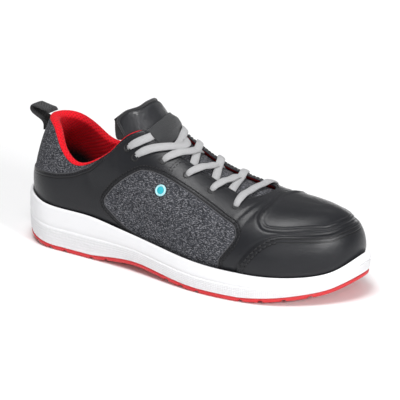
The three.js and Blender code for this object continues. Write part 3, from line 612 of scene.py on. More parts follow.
# Rings of one stitch: place as a share of its length, radius and drop as shares of the thread's.
STITCH_RINGS = np.array([(-0.50, 0.35, -0.7), (-0.34, 1.0, 0.0), (0.34, 1.0, 0.0),
                         (0.50, 0.35, -0.7)])
STITCH_CAPS = np.array([(0, 3, 2, 1), (0, 5, 4, 3), (18, 19, 20, 21), (18, 21, 22, 23)])
STITCH_SINK = 0.35


def stitches(path, normals, pitch, length, radius):
    """Short capsules along a path: each is a hexagonal spindle of four rings, laid along the
    tangent at even steps and sunk a little into what it sews."""
    reach = run_length(path)
    count = max(2, int(reach[-1] / pitch))
    at = (np.arange(count) + 0.5) * reach[-1] / count
    normal = unit(sampled(normals, reach, at))
    along = unit(sampled(np.gradient(path, axis=0), reach, at))
    side = unit(np.cross(along, normal))
    phi = np.arange(6) * math.pi / 3
    place, wide, drop = STITCH_RINGS.T[:, :, None]
    local = np.stack(np.broadcast_arrays(
        place * length, wide * radius * np.cos(phi),
        (wide * np.sin(phi) + drop - STITCH_SINK) * radius), -1).reshape(-1, 3)
    basis = np.stack([along, side, normal], 1)
    points = sampled(path, reach, at)[:, None] + local[None] @ basis
    ids = np.arange(24).reshape(4, 6)
    one = np.concatenate([grid_faces(np.concatenate([ids, ids[:, :1]], axis=1)), STITCH_CAPS])
    faces = (one[None] + 24 * np.arange(count)[:, None, None]).reshape(-1, 4)
    return points.reshape(-1, 3), faces, blank_uv(faces)


# Node trees

class Wiring:
    """A node tree with short ways to add and join nodes."""

    def __init__(self, tree):
        self.tree = tree

    def feed(self, socket, value):
        """Links a socket to another, or gives it a constant."""
        if isinstance(value, bpy.types.NodeSocket):
            self.tree.links.new(value, socket)
        else:
            socket.default_value = value

    def fill(self, node, **values):
        """Feeds sockets by name, with an underline for each space in it."""
        for key, value in values.items():
            self.feed(node.inputs[key.replace("_", " ")], value)
        return node

    def node(self, kind, inputs=None, **settings):
        """A node with its settings, then its inputs."""
        made = self.tree.nodes.new(kind)
        for key, value in settings.items():
            setattr(made, key, value)
        return self.fill(made, **(inputs or {}))

    def math(self, operation, *values):
        """One operation on one to three values."""
        made = self.node("ShaderNodeMath", operation=operation)
        for socket, value in zip(made.inputs, values):
            self.feed(socket, value)
        return made.outputs[0]

    def times(self, a, b):
        """The product of two values."""
        return self.math("MULTIPLY", a, b)

    def rest(self, value):
        """What is left of 1."""
        return self.math("SUBTRACT", 1.0, value)

    def ramp(self, value, low, high, to_low=0.0, to_high=1.0):
        """A value mapped from one range to another, held at its ends, with a smooth step."""
        made = self.node("ShaderNodeMapRange", interpolation_type="SMOOTHSTEP")
        for socket, item in zip(made.inputs, (value, low, high, to_low, to_high)):
            self.feed(socket, item)
        return made.outputs[0]

    def mixed(self, kind, numbers, values):
        """A mix node, fed by the numbers of its sockets."""
        made = self.node("ShaderNodeMix", data_type=kind)
        for number, value in zip(numbers, values):
            self.feed(made.inputs[number], value)
        return made.outputs

    def mix(self, share, a, b):
        """Two colours mixed by a share."""
        return self.mixed("RGBA", (0, 6, 7), (share, a, b))[2]

    def blend(self, share, a, b):
        """Two values mixed by a share."""
        return self.mixed("FLOAT", (0, 2, 3), (share, a, b))[0]

    def attribute(self, name):
        """A value that the mesh holds at its points."""
        return self.node("ShaderNodeAttribute", attribute_name=name).outputs["Fac"]

    def place(self):
        """The object's own coordinates."""
        return self.node("ShaderNodeTexCoord").outputs["Object"]

    def uv(self):
        """The piece's own UV map, in mm."""
        return self.node("ShaderNodeUVMap", uv_map="UVMap").outputs[0]

    def noise(self, vector, scale, detail=2.0, roughness=0.5):
        """A noise from 0 to 1."""
        return self.node("ShaderNodeTexNoise", {
            "Vector": vector, "Scale": scale, "Detail": detail, "Roughness": roughness}).outputs["Fac"]

    def bump(self, height, distance, strength=1.0, normal=None):
        """A relief on top of another, if there is one."""
        made = self.node("ShaderNodeBump", {"Height": height, "Distance": distance,
                                            "Strength": strength})
        if normal is not None:
            self.feed(made.inputs["Normal"], normal)
        return made.outputs[0]

    def group(self, name, **inputs):
        """A shared node group with its own values, made when it is first asked for."""
        made = self.node("ShaderNodeGroup")
        made.node_tree = bpy.data.node_groups.get(name) or GROUPS[name](name)
        return self.fill(made, **inputs).outputs


def new_group(name, inputs, outputs):
    """A shader node group. An input with a number is a value and one without it is a vector.
    Returns its tree, its wiring, its inputs and its output node."""
    tree = bpy.data.node_groups.new(name, "ShaderNodeTree")
    for label, default in inputs.items():
        kind = "NodeSocketVector" if default is None else "NodeSocketFloat"
        socket = tree.interface.new_socket(label, in_out="INPUT", socket_type=kind)
        if default is not None:
            socket.default_value = default
    for label in outputs:
        tree.interface.new_socket(label, in_out="OUTPUT", socket_type="NodeSocketFloat")
    w = Wiring(tree)
    return tree, w, w.node("NodeGroupInput").outputs, w.node("NodeGroupOutput")


def leather_group(name):
    """Fine pebbled grain: the distance to Voronoi cell edges, with a coarser noise and a slow
    mottle."""
    tree, w, given, out = new_group(name, {"Vector": None, "Scale": 900.0}, ("Height", "Mottle"))
    vector, scale = given["Vector"], given["Scale"]
    cells = w.node("ShaderNodeTexVoronoi", {"Vector": vector, "Scale": scale},
                   feature="DISTANCE_TO_EDGE")
    plate = w.ramp(cells.outputs["Distance"], 0.0, 0.22)
    rough = w.noise(vector, w.times(scale, 0.5), 3.0)
    w.fill(out, Height=w.math("MULTIPLY_ADD", rough, 0.6, plate),
           Mottle=w.noise(vector, w.times(scale, 0.04)))
    return tree


def weave_group(name):
    """A plain weave on uv in mm: two sets of yarns, sin(pi u / p) and sin(pi v / p), of which the
    sign of their product says which lies on top."""
    tree, w, given, out = new_group(name, {"UV": None, "Pitch": 0.8, "Stretch": 1.0}, ("Height",))
    parts = w.node("ShaderNodeSeparateXYZ", {"Vector": given["UV"]}).outputs
    turn = w.math("DIVIDE", math.pi, given["Pitch"])
    a = w.math("SINE", w.times(w.math("DIVIDE", parts[0], given["Stretch"]), turn))
    b = w.math("SINE", w.times(parts[1], turn))
    over = w.math("GREATER_THAN", w.times(a, b), 0.0)
    w.fill(out, Height=w.blend(over, w.math("ABSOLUTE", a), w.math("ABSOLUTE", b)))
    return tree


def melange_group(name):
    """Mixed yarns: short flecks where a stretched noise passes a threshold, over a coarser mottle,
    with that noise as the knitted relief."""
    tree, w, given, out = new_group(name, {"Vector": None, "Scale": 700.0},
                                    ("Fleck", "Mottle", "Height"))
    turned = w.node("ShaderNodeMapping", {"Vector": given["Vector"], "Rotation": (0.0, 0.5, 0.0),
                                          "Scale": (0.55, 1.0, 1.25)}).outputs[0]
    fine = w.noise(turned, given["Scale"], roughness=0.7)
    coarse = w.noise(given["Vector"], w.times(given["Scale"], 0.35))
    w.fill(out, Fleck=w.ramp(fine, 0.50, 0.64), Mottle=w.ramp(coarse, 0.35, 0.65), Height=fine)
    return tree


def diamond_group(name):
    """Cells in half-drop repeat: the product of sin(turn (u + v)) and sin(turn (u - v))."""
    tree, w, given, out = new_group(name, {"UV": None, "Turn": 2.1}, ("Cell",))
    u, v = w.node("ShaderNodeSeparateXYZ", {"Vector": given["UV"]}).outputs[:2]
    waves = [w.math("SINE", w.times(w.math(kind, u, v), given["Turn"])) for kind in ("ADD", "SUBTRACT")]
    w.fill(out, Cell=w.times(*waves))
    return tree


GROUPS = {"leather_grain": leather_group, "weave": weave_group, "melange": melange_group,
          "diamond_cells": diamond_group}


def tint(colour, factor):
    """A colour made darker or lighter by a factor."""
    return (*(factor * part for part in colour[:3]), 1.0)


def new_material(name, colour, roughness=0.5, **sockets):
    """A Principled material with constant values on its own sockets."""
    material = bpy.data.materials.new(name)
    material.use_nodes = True
    material.diffuse_color = tint(colour, 1)
    w = Wiring(material.node_tree)
    shader = material.node_tree.nodes["Principled BSDF"]
    w.fill(shader, Base_Color=tint(colour, 1), Roughness=roughness, **sockets)
    return material, w, shader


# Grids of the upper

COLUMNS = 500
# Where the columns stand denser: share of length, reach, how much.
DENSER = ((0.725, 0.02, 1.6), (0.39, 0.04, 0.8))


def bell(value, middle, reach):
    """A Gaussian of height 1: exp(-((value - middle) / reach)^2)."""
    return np.exp(-((value - middle) / reach) ** 2)


def column_angles(count):
    """Angles round the shoe, mirrored about its middle line and denser beside the throat's front
    and the collar's corner: the inverse of a summed density."""
    t = np.linspace(0, math.pi, 2000)
    u = HEEL_BACK + (TOE_TIP - HEEL_BACK) * (1 - np.cos(t)) / 2
    density = 1 + sum(more * bell(u, place, reach) for place, reach, more in DENSER)
    total = np.concatenate([[0], np.cumsum((density[1:] + density[:-1]) / 2)])
    half = np.interp(np.linspace(0, total[-1], count // 2 + 1), total, t)
    return np.concatenate([half, 2 * math.pi - half[1:-1][::-1]])


ANGLES = column_angles(COLUMNS)
EDGES = edge_rise(ANGLES)
CLOSED = EDGES >= 1.0
EDGE_AT = share_at(last_point(ANGLES, EDGES)[:, 0])


def edge_frame():
    """Point, outward normal and upward tangent of each rib at its edge."""
    point = last_point(ANGLES, EDGES)
    up = unit(point - last_point(ANGLES, np.maximum(EDGES - 0.01, -1)))
    normal = last_normal(ANGLES, EDGES)
    return point, normal, unit(up - normal * (up * normal).sum(-1, keepdims=True))


def edge_runs(first, last):
    """Runs of neighbouring columns whose edge lies between two shares of the length."""
    columns = np.nonzero(~CLOSED & (EDGE_AT > first) & (EDGE_AT < last))[0]
    runs = np.split(columns, np.nonzero(np.diff(columns) > 1)[0] + 1)
    return [run for run in runs if len(run) > 12]


def below_edge(columns, distance, offset):
    """A path a constant distance below the collar's or the throat's edge."""
    a, e = ANGLES[columns], EDGES[columns]
    speed = np.linalg.norm(last_point(a, e) - last_point(a, e - 0.02), axis=-1) / 0.02
    rise = e - distance / np.maximum(speed, 1)
    normal = last_normal(a, rise)
    return last_point(a, rise) + normal * offset, normal


def side_path(line, side, offset):
    """A seam given in side view, seated on one side of the upper."""
    angle, rise = solve_place(line[:, 0], line[:, 1], side, [0, 2])
    normal = last_normal(angle, rise)
    return last_point(angle, rise) + normal * offset, normal


def moved_across(path, normals, distance):
    """A path moved sideways over the surface, square to its own run."""
    side = unit(np.cross(unit(np.gradient(path, axis=0)), normals))
    return path + side * distance, normals


FAR = 60.0


def side_regions(points):
    """Surface distances, in mm, of the seams: outside the fabric window, below the collar's
    fabric, inside the toe guard, and from the toe box's raised seam."""
    x, y, z = points[..., 0], points[..., 1], points[..., 2]
    behind, above, ahead, below = length_at(-0.1), HEEL_HEIGHT * 1.4, length_at(1.1), -5
    collar = np.concatenate([[(behind, COUNTER_LINE[0, 1])], COUNTER_LINE,
                             [(COUNTER_LINE[-1, 0], above), (behind, above)]])
    guard = np.concatenate([GUARD_LINE, [(ahead, GUARD_LINE[-1, 1]), (ahead, below),
                                         (GUARD_LINE[0, 0], below)]])
    window = surface_distance(outline_distance(x, z, PANEL_LOOP), points)
    counter = surface_distance(outline_distance(x, z, collar), points)
    toe = -surface_distance(outline_distance(x, z, guard), points)
    raised = surface_distance(outline_distance(x, y, vamp_loop()), points)
    raised = np.where(z > rim_at(share_at(x)) + ABOVE_RIM, raised, FAR)
    return window, counter, toe, raised


# Softness placed one by one, depths in mm, outward positive.
# Flex creases of the vamp: share of length, slant, depth, reach along.
FLEX_CREASES = ((0.755, 0.0012, -0.55, 0.0075), (0.735, 0.0015, -0.40, 0.0060),
                (0.776, 0.0008, 0.25, 0.0100))
# Hollows and swells of the sides: share of length, share of heel height, depth, two reaches.
SWELLS = ((0.300, 0.62, -0.75, 0.050, 0.130), (0.120, 0.80, -0.40, 0.050, 0.100),
          (0.070, 0.52, 0.70, 0.070, 0.100), (0.375, 0.93, -0.70, 0.016, 0.055),
          (0.520, 0.55, 0.50, 0.100, 0.130))
# Leaning wrinkles of the quarter: share of length, share of heel height, depth.
WRINKLES = ((0.335, 0.86, -0.50), (0.350, 0.79, 0.35), (0.255, 0.66, -0.35))


def soft_form(points):
    """Softness placed one by one, a sum of bells: flex creases across the vamp beside the throat's
    front, a hollow behind the ankle, slack under the eyelets, a crown on the window and leaning
    wrinkles of the quarter."""
    at = share_at(points[..., 0])
    out = np.abs(points[..., 1] - centre_at(at))
    z = points[..., 2] / HEEL_HEIGHT
    form = np.zeros(at.shape)
    for place, slant, depth, reach in FLEX_CREASES:
        form += depth * bell(out, 30, 13) * bell(at + slant * (out - 24), place, reach)
    for place, height, depth, long, tall in SWELLS:
        form += depth * bell(at, place, long) * bell(z, height, tall)
    for place, height, depth in WRINKLES:
        form += depth * bell(at + 0.10 * (z - height), place, 0.012) * bell(z, height, 0.08)
    return form


# Steps of the upper's outer face, mm: the guard's lift, the stretch over which an overlay's cut
# edge falls, the raised double seam's ridges and the swell between them, the grooves beside the
# seams, and the outer face's turn at the edge. The inner face lies that deep under the last, and
# takes every sixth row.
GUARD_LIFT = OVERLAY_STEP + 0.35
CUT_EDGE = 0.9
RIDGE_HEIGHT = 0.75
RIDGE_REACH = 0.62
SEAM_SWELL = 0.25
SEAM_GROOVE = 0.35
GUARD_GROOVE = 0.55
GROOVE_REACH = 0.8
TURNED_EDGE = 0.5
INNER_FACE = 1.8
ROW_SKIP = 6


def skin_offset(points):
    """Offset of the upper's outer face from the last: fabric one layer down, leather at the
    surface, the guard and the raised double seam one layer up, plus the soft form."""
    window, counter, toe, raised = side_regions(points)
    leather = np.minimum(window, counter)
    offset = OVERLAY_STEP * (smooth(leather / CUT_EDGE + 0.5) - 1) + GUARD_LIFT * smooth(toe + 0.5)
    offset += RIDGE_HEIGHT * (bell(raised, 0.2, RIDGE_REACH)
                              + bell(raised, VAMP_WIDTH - 0.1, RIDGE_REACH))
    offset += SEAM_SWELL * smooth(raised / 0.8) * smooth((VAMP_WIDTH - raised) / 0.8)
    offset -= SEAM_GROOVE * bell(raised, VAMP_WIDTH + 1.3, GROOVE_REACH)
    offset -= GUARD_GROOVE * bell(toe, -1.0, GROOVE_REACH)
    return offset + soft_form(points), leather, toe, raised


def upper_surface():
    """The upper as one closed shell: rows from the feather edge up the outer face to the edge,
    over the rim and down the inner face. Ribs that close on the ridge share its points."""
    low = np.tile(np.linspace(-1, 0, 9)[:-1], (COLUMNS, 1))
    rise = np.concatenate([low, EDGES[:, None] * np.linspace(0, 1, 96)[None]], axis=1)
    angle = ANGLES[:, None]
    base = last_point(angle, rise)
    offset, leather, toe, raised = skin_offset(base)
    near = np.linalg.norm(base - base[:, -1:], axis=-1)
    offset -= TURNED_EDGE * smooth(1 - near / 1.6) * ~CLOSED[:, None]
    outer = base + last_normal(angle, rise) * offset[..., None]
    inner_rise = np.concatenate([rise[:, ::-1][:, ::ROW_SKIP], rise[:, :1]], axis=1)
    inner = last_point(angle, inner_rise) - last_normal(angle, inner_rise) * INNER_FACE
    points = np.concatenate([outer, inner], axis=1)
    ids = numbered(points)
    top = outer.shape[1] - 1
    far_half = np.nonzero(CLOSED & (np.arange(COLUMNS) > COLUMNS // 2))[0]
    ids[far_half, top:top + 2] = ids[COLUMNS - far_half, top:top + 2]
    wide = ringed(ids)
    faces = grid_faces(np.concatenate([wide, wide[:, :1]], axis=1)).reshape(*ids.shape, 4)
    keep = np.ones(ids.shape, bool)
    keep[CLOSED & np.roll(CLOSED, -1), top] = False
    faces = faces[keep]
    used = np.zeros(ids.size, bool)
    used[faces.ravel()] = True
    number = np.cumsum(used) - 1
    inside = ((0, 0), (0, inner.shape[1]))
    fields = {"skin": np.pad(leather, inside, constant_values=9.0),
              "guard": np.pad(toe, inside, constant_values=-9.0),
              "seam": np.pad(raised, inside, constant_values=FAR)}
    attributes = {key: value.ravel()[used] for key, value in fields.items()}
    return points.reshape(-1, 3)[used], number[faces], attributes


LINING_GAP = UPPER_WALL + 0.2
ROLL_PADDING = COLLAR_PADDING + 0.8
THROAT_SINK = 1.7
LINING_DEPTH = -0.92


def lining_surface():
    """The collar's padded roll and the throat's thin binding, and the lining below: a half
    circle over the rim, then down the inner face, where the padding fades away."""
    point, normal, up = edge_frame()
    padding = (ROLL_PADDING * smooth((0.335 - EDGE_AT) / 0.20)
               * (1 + 0.25 * smooth((0.16 - EDGE_AT) / 0.08)))[:, None]
    out_face, in_face = -OVERLAY_STEP * 0.6, -(LINING_GAP + padding)
    centre, half = (out_face + in_face) / 2, (out_face - in_face) / 2
    phi = np.linspace(-0.42, math.pi, 22)
    sunk = -THROAT_SINK * smooth((EDGE_AT - 0.385) / 0.03)[:, None]
    roll = (point[:, None] + normal[:, None] * (centre + half * np.cos(phi))[..., None]
            + up[:, None] * (sunk + (half * 0.62 + 0.2) * np.sin(phi))[..., None])
    depth = np.linspace(0, 1, 46)[None, 1:]
    angle, edge = ANGLES[:, None], EDGES[:, None]
    rise = edge + (LINING_DEPTH - edge) * depth ** 1.15
    fall = padding * (1 - smooth(depth * 1.9))
    puff = 0.9 * smooth(padding / 3) * bell(depth, 0.13, 0.10)
    inside = last_point(angle, rise) - last_normal(angle, rise) * (LINING_GAP + fall + puff)[..., None]
    return np.concatenate([roll, inside], axis=1)


# Sole

# Midsole's wall: share of its height, how far it stands in from the outline, mm.
WALL_PROFILE = np.array([
    (0.0, 1.2), (0.05, 0.75), (0.10, 0.4), (0.25, 0.10), (0.42, 0.0), (0.455, 0.10), (0.475, 0.55),
    (0.50, 0.55), (0.53, 0.20), (0.60, 0.05), (0.75, 0.20), (0.86, 0.50), (0.95, 0.80), (1.0, 1.5),
])
WALL_SHARES = np.concatenate([
    np.linspace(0, 0.42, 18), [0.44, 0.455, 0.465, 0.475, 0.4875, 0.50, 0.515, 0.53],
    np.linspace(0.56, 0.94, 14),
])
RIM_RADIUS = 1.6
# The cup inside the midsole: share of the height over its floor, share of the tuck.
CUP = ((1.0, 0.0), (0.75, 0.225), (0.4, 0.54), (0.0, 1.0))
# Outsole's edge: how far it stands in from the outline, mm, and share of the rubber's height.
RUBBER_EDGE = ((1.9, 0.0), (1.45, 0.10), (1.2, 0.3), (1.0, 0.6), (0.9, 0.94), (1.3, 1.0))
GROOVES = (0.075, 0.125, 0.175, 0.265, 0.315, 0.53, 0.58, 0.63, 0.755, 0.805, 0.855, 0.905)
GROOVE_SLANT = 10.0
NOTCH = 0.016
# Insole's cover: share of its rim's height, further inset, mm.
INSOLE_EDGE = ((0.0, 0.4), (0.5, -0.6), (0.9, -1.0), (1.0, -0.4))
INSOLE_INSET = TUCK + UPPER_WALL + CURVED_CLEARANCE
INSOLE_RIM = 4.0
INSOLE_DISH = 0.9


def rubber_top(at):
    """Height of the outsole's upper face."""
    return ground_at(at) + OUTSOLE_THICKNESS


def foam_foot(at):
    """Height of the midsole's underside."""
    return rubber_top(at) + CLEARANCE


def insole_foot(at):
    """Height of the insole cover's underside."""
    return floor_at(at) + CLEARANCE


def insole_rim(at):
    """Height of the insole cover's turned-up edge."""
    return insole_foot(at) + INSOLE_RIM


def plan_ring(plan, angles, inset, low, high, share):
    """A ring drawn in from an outline, at a share of the way from a low to a high level."""
    x, y = drawn_in(plan, angles, inset)
    at = share_at(x)
    return np.stack([x, y, low(at) + (high(at) - low(at)) * share], -1)


def even_angles(count):
    """Angles once round, in equal steps."""
    return 2 * math.pi * np.arange(count) / count


def groove_share(x, y):
    """1 in the tread's slanted grooves and 0 on its lugs, with steep sides."""
    cut = np.zeros(np.broadcast(x, y).shape)
    slant = GROOVE_SLANT * (0.5 - np.minimum(1, np.abs(y) / BALL_WIDTH))
    for at in GROOVES:
        from_middle = np.abs(x - length_at(at) - slant)
        cut = np.maximum(cut, smooth((GROOVE_WIDTH / 2 + 0.4 - from_middle) / 0.8))
    return cut


def midsole_surface():
    """Rings of the sole's outline up the foam's wall, over its rounded rim and down into the cup,
    with flat rows across the first and the last."""
    angles = even_angles(560)
    insets = np.interp(WALL_SHARES, *WALL_PROFILE.T)
    rings = [plan_ring(sole_plan, angles, inset, foam_foot, rim_at, share)
             for inset, share in zip(insets, WALL_SHARES)]
    shoulder = WALL_SHARES[-1]
    for turn in np.linspace(0.1, 1.0, 7) * math.pi / 2:
        inset = insets[-1] + RIM_RADIUS * (1 - math.cos(turn))
        share = shoulder + (1 - shoulder) * math.sin(turn)
        rings.append(plan_ring(sole_plan, angles, inset, foam_foot, rim_at, share))
    for share, depth in CUP:
        inset = TUCK * depth * depth - OVERLAY_STEP - CLEARANCE - 0.1 * depth
        rings.append(plan_ring(upper_plan, angles, inset, floor_at, rim_at, share))
    points = np.stack(rings, 1)
    ids = numbered(points)
    caps = np.concatenate([grid_faces(partners(ids[:, 0])[:, ::-1]), grid_faces(partners(ids[:, -1]))])
    around = run_length(ringed(points[:, 12]))[:, None]
    up = run_length(points[len(angles) // 4])[None]
    uv = np.concatenate([corner_uv(around, up), blank_uv(caps)])
    marks = np.pad(WALL_SHARES, (0, len(rings) - len(WALL_SHARES)), constant_values=1.0)
    share = np.broadcast_to(marks, points.shape[:2])
    return points, np.concatenate([grid_faces(ringed(ids)), caps]), uv, share


def outsole_surface():
    """Rings of the sole's outline round the rubber's edge and rows across its underside, which
    the grooves lift by the tread's depth and notch at the edge."""
    angles = even_angles(900)
    points = np.stack([plan_ring(sole_plan, angles, inset, ground_at, rubber_top, share)
                       for inset, share in RUBBER_EDGE], 1)
    x, y, z = points[..., 0], points[..., 1], points[..., 2]
    low = np.maximum(0, 1 - (z - ground_at(share_at(x))) / TREAD_DEPTH)
    notch = groove_share(x, y) * low
    points[..., 2] += TREAD_DEPTH * notch
    points[..., 1] += (sole_centre(share_at(x)) * BALL_WIDTH - y) * NOTCH * notch
    ids = numbered(points)
    under, across = bridged(points[:, 0], ids[:, 0], 36, ids.size)
    lifted = groove_share(under[..., 0], under[..., 1])
    under[..., 2] = ground_at(share_at(under[..., 0])) + TREAD_DEPTH * lifted
    faces = np.concatenate([grid_faces(ringed(ids)), grid_faces(across)[:, ::-1],
                            grid_faces(partners(ids[:, -1]))])
    every = np.concatenate([points.reshape(-1, 3), under.reshape(-1, 3)])
    return every, faces, np.concatenate([notch.ravel(), lifted.ravel()])


def insole_surface():
    """A dished cover over the insole: rings drawn in from the upper's outline, with the edge
    turned up, and rows across it that sink by a sine."""
    points = np.stack([plan_ring(upper_plan, even_angles(240), INSOLE_INSET + extra, insole_foot,
                                 insole_rim, share) for share, extra in INSOLE_EDGE], 1)
    ids = numbered(points)
    steps = 24
    over, across = bridged(points[:, -1], ids[:, -1], steps, ids.size)
    over[..., 2] -= INSOLE_DISH * np.sin(np.linspace(0, math.pi, steps + 1)[1:-1])
    faces = np.concatenate([grid_faces(ringed(ids)), grid_faces(across),
                            grid_faces(partners(ids[:, 0]))[:, ::-1]])
    return np.concatenate([points.reshape(-1, 3), over.reshape(-1, 3)]), faces


# Tongue

TONGUE_HALF = 0.26 * BALL_WIDTH
TONGUE_TOE = 0.757
TONGUE_BACK = 0.374
OUTER_CORNER = 0.088
INNER_CORNER = 0.036
PAD_START = 0.47
LIP_START = 0.40
LIP_SWELL = 1.2
CROWN_HEIGHT = 2.6
INNER_CROWN = 1.8
BINDING_WIDTH = 3.0
BINDING_THICKNESS = 4.4


def tongue_top(across):
    """The tongue's free edge: its corners reach further back, the outer one most."""
    return TONGUE_BACK - np.where(across < 0, OUTER_CORNER * across ** 4, INNER_CORNER * across ** 2)


def tongue_body(at):
    """Thickness of the tongue with the padding toward its free edge."""
    return TONGUE_THICKNESS + TONGUE_TOP_PADDING * smooth((PAD_START - at) / 0.05)


def tongue_crown(at, across):
    """How far the padded top of the tongue swells above its flat part."""
    inner, outer = np.clip(across, 0, 1), np.clip(-across, 0, 1)
    return ((CROWN_HEIGHT + INNER_CROWN * inner) * smooth((0.46 - at) / 0.05)
            * (1 - outer ** 4 - inner ** 8))


def tongue_lip(at):
    """The last swell at the free edge."""
    return LIP_SWELL * smooth((LIP_START - at) / 0.06)


def tongue_surface():
    """The tongue as a tube of flattened superellipses from its free edge to its toe end, thinner
    at its sides. Returns points, the share of the length and the distance from its border."""
    phi = np.linspace(0, 2 * math.pi, 65)
    across = superellipse(np.cos(phi), 9)[None]
    high = superellipse(np.sin(phi), 2.4)[None]
    along = np.linspace(0, 1, 131)[:, None]
    swell = np.minimum(smooth(along / 0.035), smooth((1 - along) / 0.02)) ** 0.5
    narrow = 1 - 0.22 * (1 - smooth(along / 0.10)) ** 2
    top = tongue_top(across)
    at = top + (TONGUE_TOE - top) * along
    half = tongue_share(at) * BALL_WIDTH
    thick = tongue_body(at) * (1 - 0.40 * np.abs(across) ** 4) * swell
    lift = TONGUE_LIFT - tongue_body(at) / 2 + thick / 2 * high + tongue_crown(at, across)
    points, _ = on_last(at, across * half * narrow, lift + tongue_lip(at))
    edge = np.minimum((1 - np.abs(across)) * half, run_length(points))
    return points, at, edge


def binding_line():
    """The binding's path: up one side of the tongue's top, round its free edge and down the
    other side."""
    curve = np.linspace(-1, 1, 61)[1:-1]
    run = np.linspace(0, 1, 40)
    round_at = tongue_top(curve)
    leg_at = 0.318 + 0.155 * run
    leg_out = tongue_share(leg_at) * BALL_WIDTH * (0.85 + 0.13 * smooth(run / 0.3))
    at = np.concatenate([leg_at[::-1], round_at, leg_at])
    out = np.concatenate([-leg_out[::-1], curve * tongue_share(round_at) * BALL_WIDTH * 0.85, leg_out])
    depth = TONGUE_LIFT - tongue_body(at) * 0.42 + tongue_crown(at, out / TONGUE_HALF)
    line, facing = on_last(at, out, depth + tongue_lip(at))
    return relaxed(line, 12), facing


# Laces

LACE_SEAT = CURVED_CLEARANCE * 0.7 + LACE_THICKNESS / 2
UNDER_LIFT = TONGUE_LIFT + CLEARANCE + LACE_THICKNESS / 2
OVER_LIFT = UNDER_LIFT + LACE_THICKNESS * 0.8 + 0.5
HOLE_DEPTH = -1.6
# Crossings from the toe up: eyelet, share of length where the outer and the inner strand end, bow.
STRANDS = ((1, 0.624, 0.655, 0.012), (2, 0.568, 0.604, 0.012), (3, 0.505, 0.538, 0.020),
           (4, 0.446, 0.478, 0.066))
# A strand: how far in from the throat's edge it starts to rise and over what length, how far it
# passes under the far edge and how deep it sinks there, mm.
STRAND_FOOT = 8.5
STRAND_RISE = 6.0
UNDER_EDGE = 1.0
FAR_SINK = 0.8
# Bars from an eyelet to its partner: eyelet, bow toward the heel or the toe as a share of length,
# how far in from the throat's edge it starts to rise and how much its middle is raised, mm.
TOP_BAR = (5, 0.060, 3.5, 0.0)
TOE_BAR = (0, 0.0, 9.0, 1.3)
# How a lace narrows and thickens at its eyelet, shares of its width and thickness, and over what
# length it opens, mm.
PINCHED_WIDTH = 0.74
OPEN_WIDTH = 0.98
PINCHED_THICKNESS = 1.20
OPEN_THICKNESS = 0.98
PINCH_LENGTH = 11.0


def strand_path(start, end_at, bow, side, middle_lift):
    """Centre line of one strand: out of its eyelet, over the throat's edge, across the tongue
    and down under the far edge. The lift follows the edge by smooth steps."""
    eye_at, eye_out = EYELETS[start]
    t = np.linspace(0.0, 1.0, 44)
    at = eye_at + (end_at - eye_at) * t + bow * np.sin(math.pi * t)
    start_out = side * eye_out * BALL_WIDTH
    far_out = -side * (throat_half(end_at) + UNDER_EDGE)
    out = start_out + (far_out - start_out) * t
    edge = throat_half(at)
    on_edge = smooth((np.abs(out) - edge + STRAND_FOOT) / STRAND_RISE) * (np.sign(out) == side)
    to_far = smooth(-side * out / (0.1 * BALL_WIDTH))
    middle = middle_lift + (UNDER_LIFT - middle_lift) * to_far
    lift = middle + (LACE_SEAT - middle) * on_edge
    lift -= FAR_SINK * smooth((-side * out - edge + 3.0) / 4)
    points, facing = on_last(at, out, lift)
    hole, hole_facing = on_last(eye_at - 0.0010, start_out * 0.99, HOLE_DEPTH)
    lip, _ = on_last(eye_at, start_out * 0.96, 0.6)
    points = np.concatenate([hole[None], lip[None], points[1:]])
    facing = np.concatenate([hole_facing[None], hole_facing[None], facing[1:]])
    return points, facing


def bar_level(bar, where, y):
    """Lift of a bar's middle: on the tongue, then up a smooth step onto the eyestay."""
    index, _, foot, raised = bar
    middle = UNDER_LIFT + tongue_crown(where, y / TONGUE_HALF) + raised
    on_edge = smooth((np.abs(y) - throat_half(EYELETS[index, 0]) + foot) / (foot + 1.5))
    return middle + (LACE_SEAT - middle) * on_edge


def bar_path(bar):
    """A bar from an eyelet to its partner, over both edges of the throat, bowed by 1 - t^4."""
    index, bow, _, _ = bar
    at, out = EYELETS[index]
    reach = out * BALL_WIDTH
    y = np.linspace(-reach, reach, 60)
    where = at + bow * (1 - (y / reach) ** 4)
    points, facing = on_last(where, y, bar_level(bar, where, y))
    ends = [on_last(at, side * reach, HOLE_DEPTH)[0] for side in (-1, 1)]
    points = np.concatenate([ends[0][None], points, ends[1][None]])
    return points, np.concatenate([facing[:1], facing, facing[-1:]])


def relaxed(path, rounds):
    """A path whose inner points are each moved halfway to the middle of their neighbours."""
    path = path.copy()
    for _ in range(rounds):
        path[1:-1] += 0.5 * ((path[:-2] + path[2:]) / 2 - path[1:-1])
    return path


def lace_part(points, facing, both_ends):
    """A strand's band: pinched where it goes into an eyelet, wide and flat over the tongue."""
    points = relaxed(points, 9)
    reach = run_length(points)
    from_hole = np.minimum(reach, reach[-1] - reach) if both_ends else reach
    spread = smooth(from_hole / PINCH_LENGTH)
    width = LACE_WIDTH * (PINCHED_WIDTH + (OPEN_WIDTH - PINCHED_WIDTH) * spread)
    thickness = LACE_THICKNESS * (PINCHED_THICKNESS + (OPEN_THICKNESS - PINCHED_THICKNESS) * spread)
    return swept_band(points, facing, width, thickness, sides=18, power=2.5)


# Small pieces

# The label is longer and wider here than its solid, whose ends keep clear of the lace under it.
LABEL_SPAN = LABEL_LENGTH + 9.0
LABEL_HALF = LABEL_WIDTH / 2 + 0.6
LABEL_AHEAD = 0.009
LABEL_SKEW = 0.0004
LABEL_BOW = 0.25
LABEL_SLOPE = 5.5
LABEL_OVER_TONGUE = 0.3
LABEL_OVER_LACE = 0.15
